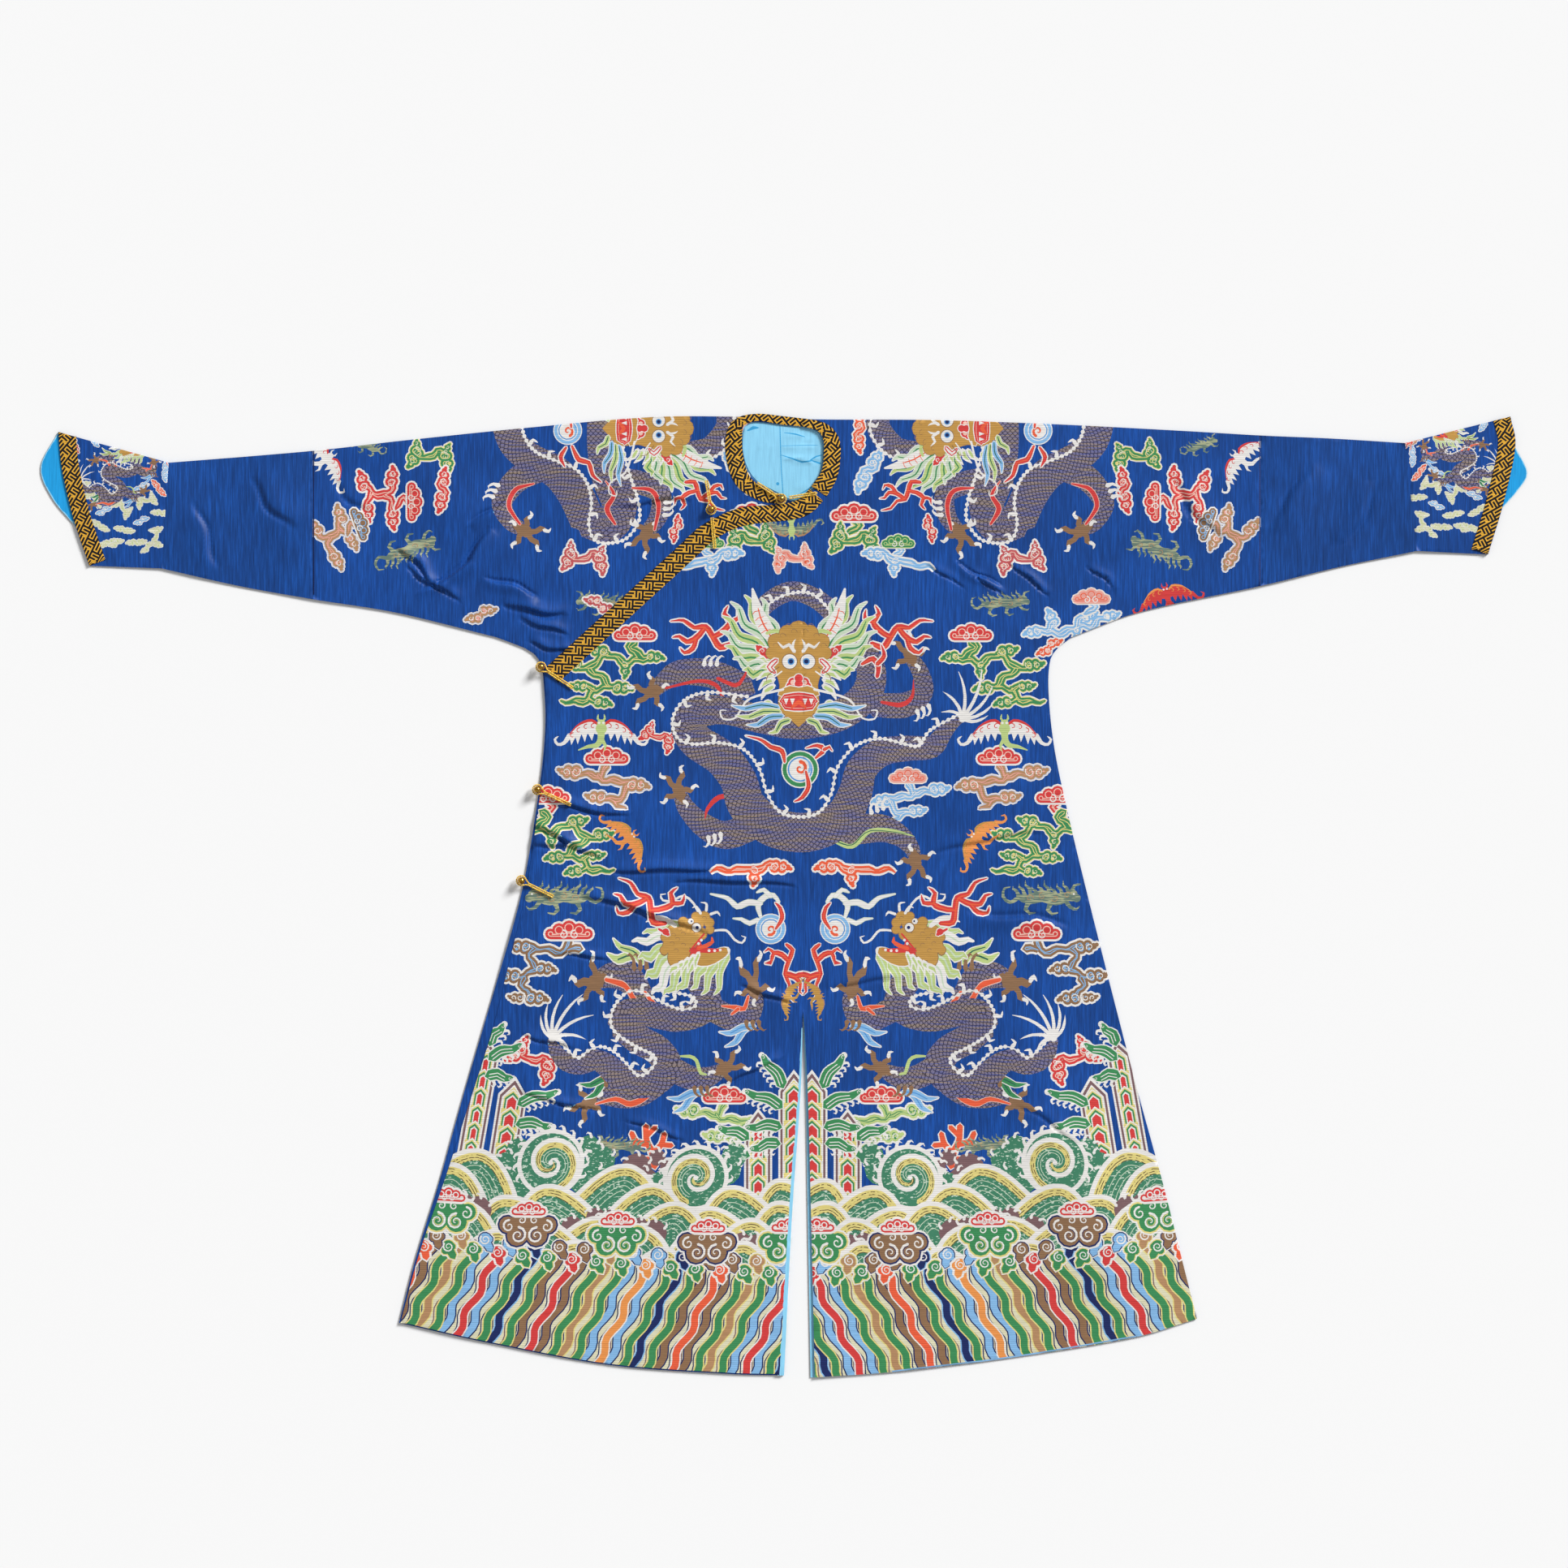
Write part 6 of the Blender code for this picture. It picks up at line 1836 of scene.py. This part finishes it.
def cuff_outlines(side):
    """Outlines of a cuff's front, its back with the hoof that reaches past it, its band and lining."""
    if side == "right":
        seam, edge, lining, hand = RIGHT_CUFF_SEAM, RIGHT_CUFF_EDGE, RIGHT_CUFF_LINING, -1
    else:
        seam, edge, lining, hand = LEFT_CUFF_SEAM, LEFT_CUFF_EDGE, LEFT_CUFF_LINING, 1
    mouth = smooth(edge, 8)
    hoof = smooth(lining, 8)
    top = np.linspace(seam[0], edge[0], 14)[:-1]
    low = np.linspace(edge[-1], seam[1], 14)[1:]
    inner_end = np.linspace(seam[1], seam[0], 14)[1:-1]
    first = int(np.argmin(np.hypot(*(mouth - hoof[0]).T)))
    last = int(np.argmin(np.hypot(*(mouth - hoof[-1]).T)))
    front = closed_loop(top, mouth, low, inner_end)
    back = closed_loop(top, mouth[:first], hoof, mouth[last + 1:], low, inner_end)
    # the band's upper end follows the top edge of the cuff
    inner_rim = moved(mouth, -CUFF_BAND * hand)
    inner_rim[0, 1] = np.interp(inner_rim[0, 0] * hand, [seam[0][0] * hand, edge[0][0] * hand],
        [seam[0][1], edge[0][1]])
    band = closed_loop(moved(mouth, -0.5 * hand), inner_rim[::-1])
    tongue = closed_loop(moved(mouth[first:last + 1], -3.0 * hand), moved(hoof, -0.8 * hand)[1:-1][::-1])
    return front, back, band, tongue, mouth


def band_edges(rows):
    """Outline of a band along rows of x, y, half width, and its centre line."""
    path = smooth(rows, 7)
    side = normals_of(path) * path[:, 2:3]
    return closed_loop(path[:, :2] + side, (path[:, :2] - side)[::-1]), path


# Key fret of the bands, in gold on dark silk: one repeat, drawn on squares FRET_UNIT wide
FRET_UNIT = 2.3
FRET = (
    "###.#.#####.",
    "#.#.#.....#.",
    "#.#.#.#####.",
    "#.#.#.#.....",
    "#.#.#.#####.",
    "#.###.......",
    "#####.###.#.",
    "....#.#.#.#.",
    "#####.#.#.#.",
    "#.....#.#.#.",
    "#####.#.#.#.",
    "......#.###.",
)


def fret_shapes(path, half):
    """The key fret laid along a band on the bias, as bars that bend with it."""
    run = np.r_[0, np.cumsum(np.hypot(*np.diff(path[:, :2], axis=0).T))]
    side = normals_of(path)
    size = len(FRET)
    edge = 0.12
    shapes = []

    def bar(ends):
        """A bar between two corners on the fret's squares, if it lies on the band."""
        (x0, y0), (x1, y1) = ends
        points = np.array([(x0, y0), (x1, y0), (x1, y1), (x0, y1)]) * FRET_UNIT
        along = (points[:, 0] - points[:, 1]) * math.sqrt(0.5)
        across = (points[:, 0] + points[:, 1]) * math.sqrt(0.5)
        if along.max() > -2 and along.min() < run[-1] + 2 and across.max() > -half and across.min() < half:
            spine = [np.interp(along, run, path[:, k]) + across * np.interp(along, run,
                side[:, k]) for k in (0, 1)]
            shapes.append((np.stack(spine, 1), "trim_gold", None))

    reach = int(half * 1.5 / FRET_UNIT) + size
    for p in range(-reach, int(run[-1] * 1.5 / FRET_UNIT) + reach):
        for q in range(-reach, reach):
            if (p + q) % 2:
                continue
            column, row = (p + q) // 2, (q - p) // 2

            def gold(i, j):
                return FRET[(row + j) % size][(column + i) % size] == "#"

            if not gold(0, 0):
                continue
            for i, j in ((1, 0), (0, 1)):
                if gold(i, j) and not gold(-i, -j):
                    length = 1
                    while gold(i * length, j * length) and length < size:
                        length += 1
                    bar([(column + edge, row + edge),
                         (column + 1 - edge + i * (length - 1), row + 1 - edge + j * (length - 1))])
    return shapes


# ---------------------------------------------------------------- pieces of cloth


def declare(cloth, node, tube=False, long=False):
    """Attaches a laid sheet to the root body and hides the solid part that it stands in for; it works out the
    cut of what shows but does not use it.

    A tube is cut all round, so twice its width. A long strip is measured along its length."""
    obj = cloth.obj
    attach(obj, "root")
    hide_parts(node)
    width, length = ((cloth.loops[0].max(0) - cloth.loops[0].min(0)) * MM).tolist()
    if tube:
        length *= 2
    if long:
        loop = cloth.loops[0]
        length = float(np.hypot(*(loop - np.roll(loop, 1, 0)).T).sum()) / 2 * MM
        width = max(cloth.area / length, 0.0101)
    min(cloth.area, width * length)
    return obj


def join(objects, name):
    """Several meshes as one piece."""
    with bpy.context.temp_override(active_object=objects[0], object=objects[0],
                                   selected_editable_objects=objects, selected_objects=objects):
        bpy.ops.object.join()
    objects[0].name = name
    objects[0].data.name = name
    return objects[0]


# Puckers of the lining at the neck: x0, y0, x1, y1, half width, height
NECK_WRINKLES = (
    (-6, 628, 52, 616, 3.0, 1.6), (10, 618, 58, 626, 2.4, 1.0), (-6, 640, 50, 642, 2.6, 0.9),
    (-4, 660, 44, 652, 2.6, 0.8), (14, 580, 44, 588, 3.0, 0.8), (-40, 640, -12, 644, 3.0, 0.5),
)


def lining_height(x, y):
    """Inside of the back at the neck, with a puckered ridge across its wearer's left half."""
    base = CLOTH + GAP + 0.6 + 0 * x
    for x0, y0, x1, y1, half, height in NECK_WRINKLES:
        t, aside = along_line(x, y, x0, y0, x1, y1)
        away = (aside + 1.5 * np.sin(9 * t)) / half
        ridge = np.where((t > 0) & (t < 1), height * np.sin(math.pi * np.clip(t, 0, 1)), 0)
        base = base + ridge * np.exp(-away**2)
    return base


def lining_shapes():
    """Seam of the lining at the neck, with shade painted as darker lines along its puckers, and a few darker
    marks.
    """
    shapes = []
    pen = Pen(shapes)
    pen.stroke([(-6, 676, 1.0), (-5, 640, 1.4), (-4, 610, 1.2), (-1, 568, 1.4)], "seam")
    # Painted shade: darker lines along the puckers, with a few darker marks beside them
    for rows in (((-4, 629, 0.8), (12, 624, 2.0), (26, 619, 2.6), (40, 621, 1.8), (52, 617, 3.0)),
            ((34, 619, 1.0), (46, 627, 2.2), (56, 629, 1.0)), ((-4, 642, 0.6), (24, 643, 0.8),
            (50, 643, 0.8)), ((0, 661, 0.8), (16, 659, 2.0), (30, 655, 0.8)), ((-52, 664, 2.0),
            (-44, 668, 5.0), (-36, 668, 1.0)), ((12, 568, 1.0), (24, 574, 1.6), (40, 584, 2.0),
            (48, 596, 1.0))):
        pen.stroke(rows, "seam", 4.0)
    pen.disc(-9, 588, 2.4, "seam", 8)
    return shapes


# Small clouds of a cuff: across and up from its middle, turn, yarns
CUFF_CLOUDS = (
    (-36, -1, -35, TWIN, "wan"), (4, -16, -50, TWIN, "wan"), (37, -5, 8, TWIN, "wan"),
    (58, -24, 88, PLUME, "wan"), (-17, -66, -70, PLUME, "wan"), (5, -48, 80, PLUME, "wan"),
    (22, -66, 95, PLUME, "wan"), (50, -58, 84, TWIN, "wan"), (-30, -42, 60, PLUME, "wan"),
    (-58, 16, 100, PLUME, "wan"), (38, -72, 20, SMALL, "wan"), (-6, -66, 0, SMALL, "wan"),
    (64, 36, 0, PLUME, "azure"), (54, 12, 40, PLUME, "coral"), (30, 14, 0, SMALL, "azure"),
    (-66, 76, 20, PLUME, "rose"), (-70, 48, 0, SMALL, "azure"), (-40, 84, 30, PLUME, "azure"),
    (60, 58, 60, PLUME, "dusk"), (30, -34, 0, SMALL, "azure"), (-24, -20, 0, SMALL, "azure"),
)


def cuff_design(side):
    """Small dragon amid a crowd of pale clouds, its head towards the robe."""
    shapes = []
    pen = Pen(shapes).at(-948, 570) if side == "right" else Pen(shapes).at(962, 592, 1, 0, True)
    for x, y, turn, shape, yarns in CUFF_CLOUDS:
        cloud(pen.at(x, y, 0.42, turn), shape, yarns)
    profile_dragon(pen.at(74, 92, 0.37, 0, True))
    return shapes


def ball_mesh(name, centre):
    """Turned brass ball button with a fine groove round its middle."""
    radius, rows, sides = BALL_RADIUS, 24, 32
    profile = []
    for k in range(rows + 1):
        a = math.pi * k / rows
        groove = 0.16 * math.exp(-((a - math.pi / 2) / 0.05) ** 2)
        profile.append(((radius - groove) * math.sin(a), radius * math.cos(a)))
    bm = bmesh.new()
    rings = []
    for r, z in profile[1:-1]:
        rings.append([bm.verts.new((r * math.cos(t), r * math.sin(t), z))
                      for t in (2 * math.pi * k / sides for k in range(sides))])
    top, foot_vert = bm.verts.new((0, 0, radius)), bm.verts.new((0, 0, -radius))
    for k in range(sides):
        m = (k + 1) % sides
        bm.faces.new((top, rings[0][k], rings[0][m]))
        for upper, lower in zip(rings, rings[1:]):
            bm.faces.new((upper[k], lower[k], lower[m], upper[m]))
        bm.faces.new((rings[-1][k], foot_vert, rings[-1][m]))
    for v in bm.verts:
        v.co = (v.co + Vector(centre)) * MM
    mesh = bpy.data.meshes.new(name)
    bm.to_mesh(mesh)
    bm.free()
    mesh.shade_smooth()
    mesh.materials.append(brass())
    return put(name, mesh)


def twisted_cord(name, route):
    """Two-ply cord along a route of x, y, z: two strands wound round each other."""
    path = smooth(route, 1.0)
    steps = np.linalg.norm(np.diff(path, axis=0), axis=1)
    run = np.r_[0, np.cumsum(steps)]
    ahead = unit_rows(np.gradient(path, axis=0))
    side = unit_rows(np.cross(ahead, [0.0, 0.0, 1.0]))
    up = np.cross(side, ahead)
    sides, strand_radius, offset, pitch = 7, 0.72, 0.6, 5.4
    points, faces = [], []
    for ply in (0, 1):
        angle = 2 * math.pi * run / pitch + math.pi * ply
        centre = path + offset * (np.cos(angle)[:, None] * side + np.sin(angle)[:, None] * up)
        swell = np.minimum(1.0, 0.3 + np.minimum(run, run[-1] - run) / 0.8)
        first = len(points)
        for c, s, u, r in zip(centre, side, up, swell):
            for k in range(sides):
                a = 2 * math.pi * k / sides
                points.append(c + strand_radius * r * (math.cos(a) * s + math.sin(a) * u))
        for i in range(len(path) - 1):
            for k in range(sides):
                m = (k + 1) % sides
                a, b = first + i * sides, first + (i + 1) * sides
                faces.append((a + k, a + m, b + m, b + k))
        faces.append(tuple(first + k for k in reversed(range(sides))))
        last = first + (len(path) - 1) * sides
        faces.append(tuple(last + k for k in range(sides)))
    mesh = bpy.data.meshes.new(name)
    mesh.from_pydata((np.array(points) * MM).tolist(), [], faces)
    mesh.shade_smooth()
    mesh.materials.append(cord_thread())
    return put(name, mesh)


def on_surface(points, lift):
    """Points in x, y laid over the fronts and their bands, lift above them."""
    points = np.array(points, float)
    z = band_height(points[:, 0], points[:, 1]) + GAP + TRIM + lift
    return np.column_stack([points, z])


def loop_route(hub, end):
    """A doubled cord from its far end, round the ball, and back beside itself."""
    hub, tip = np.array(hub, float), np.array(end, float)
    length = float(np.hypot(*(hub - tip)))
    along = (hub - tip) / length
    across = np.array([-along[1], along[0]])
    pair = (CORD + GAP) / 2
    reach = BALL_RADIUS + CORD / 2 + 0.2
    rows = [tip + along * (length - reach - 4) * k / 6 + across * pair for k in range(7)]
    for degrees in (140, 100, 60, 20, -20, -60, -100, -140):
        a = math.radians(degrees)
        rows.append(hub + (along * math.cos(a) + across * math.sin(a)) * reach)
    rows += [tip + along * (length - reach - 4) * (6 - k) / 6 - across * pair for k in range(7)]
    return on_surface(rows, 1.4)


def strap_route(hub, end):
    """The ball's own doubled cord, from the ball to its far end and back."""
    hub, tip = np.array(hub, float), np.array(end, float)
    along = (tip - hub) / np.hypot(*(tip - hub))
    across = np.array([-along[1], along[0]]) * (CORD + GAP) / 2
    near = hub + along * (BALL_RADIUS + 2 * CORD + 0.6)
    rows = [near + (tip - near) * k / 5 + across for k in range(6)] + [tip + along * 1.5]
    rows += [near + (tip - near) * (5 - k) / 5 - across for k in range(6)]
    return on_surface(rows, 1.4)


# ---------------------------------------------------------------- operators


class ROBE_OT_backs(bpy.types.Operator):
    """Lays the two backs, painted side down"""

    bl_idname = "robe.backs"
    bl_label = "Lay the Backs"

    def execute(self, context):
        left_design, right_design = front_designs()
        for side, design in (("right", right_design), ("left", left_design)):
            cloth = Cloth("back_" + side, half_outline(side), back_top, "ground", "lining", design,
                down=True, fine=0.7)
            declare(cloth, "body_" + side)
        return {"FINISHED"}


class ROBE_OT_fronts(bpy.types.Operator):
    """Lays the two fronts and the overlap panel"""

    bl_idname = "robe.fronts"
    bl_label = "Lay the Fronts"

    def execute(self, context):
        left_design, right_design = front_designs()
        hole = smooth(NECK_HOLE, 9, closed=True)
        chest = [s for s in right_design if s[0][:, 1].max() > 250]
        right = Cloth("front_right", half_outline("right"), front_height, "ground", "lining", chest, [hole])
        declare(right, "body_right")
        left = Cloth("front_left", half_outline("left", True), left_height, "ground", "lining",
            left_design, [hole])
        declare(left, "body_left")
        over = Cloth("overlap_panel", overlap_outline(), overlap_height, "ground", "lining", right_design)
        declare(over, "overlap_front")
        return {"FINISHED"}


class ROBE_OT_sleeves(bpy.types.Operator):
    """Lays the plain silk sleeves and the brocade cuffs with their linings and bands"""

    bl_idname = "robe.sleeves"
    bl_label = "Lay the Sleeves and Cuffs"

    def execute(self, context):
        for side in ("right", "left"):
            outline = sleeve_outline(side)
            under = Cloth("sleeve_back", outline, back_top, "blue", "lining", down=True)
            over = Cloth("sleeve_front", outline, front_height, "blue", "lining")
            over.area += under.area
            over.obj = join([over.obj, under.obj], "plain_sleeve_" + side)
            declare(over, "sleeve_" + side, tube=True)
            front, back, band, tongue, mouth = cuff_outlines(side)
            design = cuff_design(side)
            under = Cloth("cuff_back", back, back_top, "ground", "lining", design, down=True, fine=0.7)
            over = Cloth("cuff_front", front, front_height, "ground", "lining", design, fine=0.3)
            over.area += under.area
            over.obj = join([over.obj, under.obj], "brocade_cuff_" + side)
            declare(over, "cuff_" + side, tube=True)
            hand = -1 if side == "right" else 1
            middle = moved(mouth, -CUFF_BAND / 2 * hand)
            middle = np.column_stack([middle, np.full(len(middle), CUFF_BAND / 2)])
            shapes = fret_shapes(middle, CUFF_BAND / 2)
            trim = Cloth("fret_cuff_" + side, band, on_top(front_height), "band_ground", "band_ground",
                shapes, grid=10, thick=TRIM - 0.2, drop=0.8)
            declare(trim, "cuff_trim_" + side, long=True)
            inside_cuff = Cloth("cuff_inside_" + side, tongue, cuff_lining_height, "cuff_lining",
                "cuff_lining", grid=9, thick=0.6, drop=0.4)
            declare(inside_cuff, "lining_cuff_" + side,
                long=True)
        return {"FINISHED"}


class ROBE_OT_linings(bpy.types.Operator):
    """Lays the lining that shows at the neck and beside the vent"""

    bl_idname = "robe.linings"
    bl_label = "Lay the Linings"

    def execute(self, context):
        hole = smooth(NECK_HOLE, 9, closed=True)
        neck = Cloth("neck_inside", moved_loop(hole, 2.0), lining_height, "lining", "lining", lining_shapes(),
                     grid=6, thick=0.5, drop=0.3)
        declare(neck, "lining_neck")
        for side in ("right", "left"):
            _, _, _, slit = half_edges(side)
            margin = np.column_stack([vent_margin(slit[:, 1]), np.zeros(len(slit))])
            hand = -1 if side == "right" else 1
            keep = margin[:, 0] > 1.2
            outer, inner_edge = slit[keep], (slit + hand * margin)[keep] + (3.0 * hand, 0)
            strip = closed_loop(outer, inner_edge[::-1])
            low = lining_level if side == "left" else over_lining_level
            piece = Cloth("vent_inside_" + side, strip, low, "lining", "lining", grid=9, thick=0.5, drop=0.3)
            declare(piece, "lining_vent_" + side, long=True)
        return {"FINISHED"}


class ROBE_OT_bands(bpy.types.Operator):
    """Lays the key-fret bands round the neck and along the overlap"""

    bl_idname = "robe.bands"
    bl_label = "Lay the Bands"

    def execute(self, context):
        for name, rows, height, rests in (
            ("neck_trim", NECK_BAND, neck_height, "front_right"),
            ("overlap_trim", OVERLAP_BAND, band_height, "overlap_panel"),
        ):
            outline, path = band_edges(rows)
            shapes = fret_shapes(path, path[:, 2].max())
            cloth = Cloth("fret_" + name[:-5], outline, on_top(height), "band_ground", "band_ground",
                shapes, grid=9, thick=TRIM - 0.2, drop=0.8)
            declare(cloth, name, long=True)
        return {"FINISHED"}


class ROBE_OT_closures(bpy.types.Operator):
    """Fastens the ball buttons, their loops and straps"""

    bl_idname = "robe.closures"
    bl_label = "Fasten the Buttons"

    def execute(self, context):
        for name, (hub, loop_end, strap_end) in CLOSURES.items():
            level = float(on_surface([hub], 0.0)[0, 2])
            button = ball_mesh("ball_" + name, (hub[0], hub[1], level + BALL_RADIUS))
            made = [(button, "gilt_brass", "button_" + name)]
            cord = twisted_cord("looped_cord_" + name, loop_route(hub, loop_end))
            made.append((cord, "gold_cord", "loop_" + name))
            if strap_end:
                cord = twisted_cord("strap_cord_" + name, strap_route(hub, strap_end))
                made.append((cord, "gold_cord", "strap_" + name))
            for obj, slot, node in made:
                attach(obj, "root")
                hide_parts(node)
        return {"FINISHED"}


class ROBE_OT_stage(bpy.types.Operator):
    """Lays the pale table, hangs the soft lights and sets the overhead camera"""

    bl_idname = "robe.stage"
    bl_label = "Set the Stage"

    def execute(self, context):
        settings = context.scene.dragon_robe
        mesh = bpy.data.meshes.new("table")
        mesh.from_pydata([(-8, -8, 0), (8, -8, 0), (8, 8, 0), (-8, 8, 0)], [], [(0, 1, 2, 3)])
        floor = put("table", mesh)
        material = bpy.data.materials.new("Pale matt table")
        material.use_nodes = True
        shader = material.node_tree.nodes["Principled BSDF"]
        shader.inputs["Base Color"].default_value = linear("f8f8f8")
        shader.inputs["Roughness"].default_value = 0.9
        mesh.materials.append(material)
        data = bpy.data.lights.new("distant softbox", "SUN")
        data.energy = settings.light
        data.angle = math.radians(18.0)
        lamp = put("distant softbox", data)
        lamp.location = (5.4, 5.0, 4.6)
        lamp.rotation_euler = (-Vector(lamp.location)).to_track_quat("-Z", "Y").to_euler()
        world = bpy.data.worlds.new("soft room light")
        world.use_nodes = True
        background = world.node_tree.nodes["Background"]
        background.inputs["Color"].default_value = linear("ffffff")
        background.inputs["Strength"].default_value = settings.room
        context.scene.world = world
        data = bpy.data.cameras.new("camera")
        data.lens = settings.lens
        data.sensor_width = 36.0
        camera = put("camera", data)
        camera.location = (0.0, 0.159, 8.0)
        context.scene.camera = camera
        context.scene.view_settings.view_transform = "Standard"
        return {"FINISHED"}


class DragonRobeSettings(bpy.types.PropertyGroup):
    light: FloatProperty(name="Softbox", description="Strength of the distant softbox", default=3.7, min=0.0)
    room: FloatProperty(name="Room light", description="Strength of the light from all round", default=0.38,
                        min=0.0)
    lens: FloatProperty(name="Lens", description="Focal length of the overhead camera, in millimetres",
                        default=128.5, min=1.0)


class ROBE_PT_panel(bpy.types.Panel):
    """Sidebar panel with the settings and the steps in order"""

    bl_idname = "ROBE_PT_panel"
    bl_label = "Dragon Robe"
    bl_space_type = "VIEW_3D"
    bl_region_type = "UI"
    bl_category = "Dragon Robe"

    def draw(self, context):
        for name in ("light", "room", "lens"):
            self.layout.prop(context.scene.dragon_robe, name)
        for operator in OPERATORS:
            self.layout.operator(operator.bl_idname)


OPERATORS = (ROBE_OT_backs, ROBE_OT_fronts, ROBE_OT_sleeves, ROBE_OT_linings, ROBE_OT_bands,
             ROBE_OT_closures, ROBE_OT_stage)
CLASSES = (DragonRobeSettings, *OPERATORS, ROBE_PT_panel)


def register():
    for item in CLASSES:
        bpy.utils.register_class(item)
    bpy.types.Scene.dragon_robe = PointerProperty(type=DragonRobeSettings)


def unregister():
    del bpy.types.Scene.dragon_robe
    for item in reversed(CLASSES):
        bpy.utils.unregister_class(item)


def main():
    register()
    bpy.ops.robe.backs()
    bpy.ops.robe.fronts()
    bpy.ops.robe.sleeves()
    bpy.ops.robe.linings()
    bpy.ops.robe.bands()
    bpy.ops.robe.closures()
    bpy.ops.robe.stage()


if __name__ == "__main__":
    main()
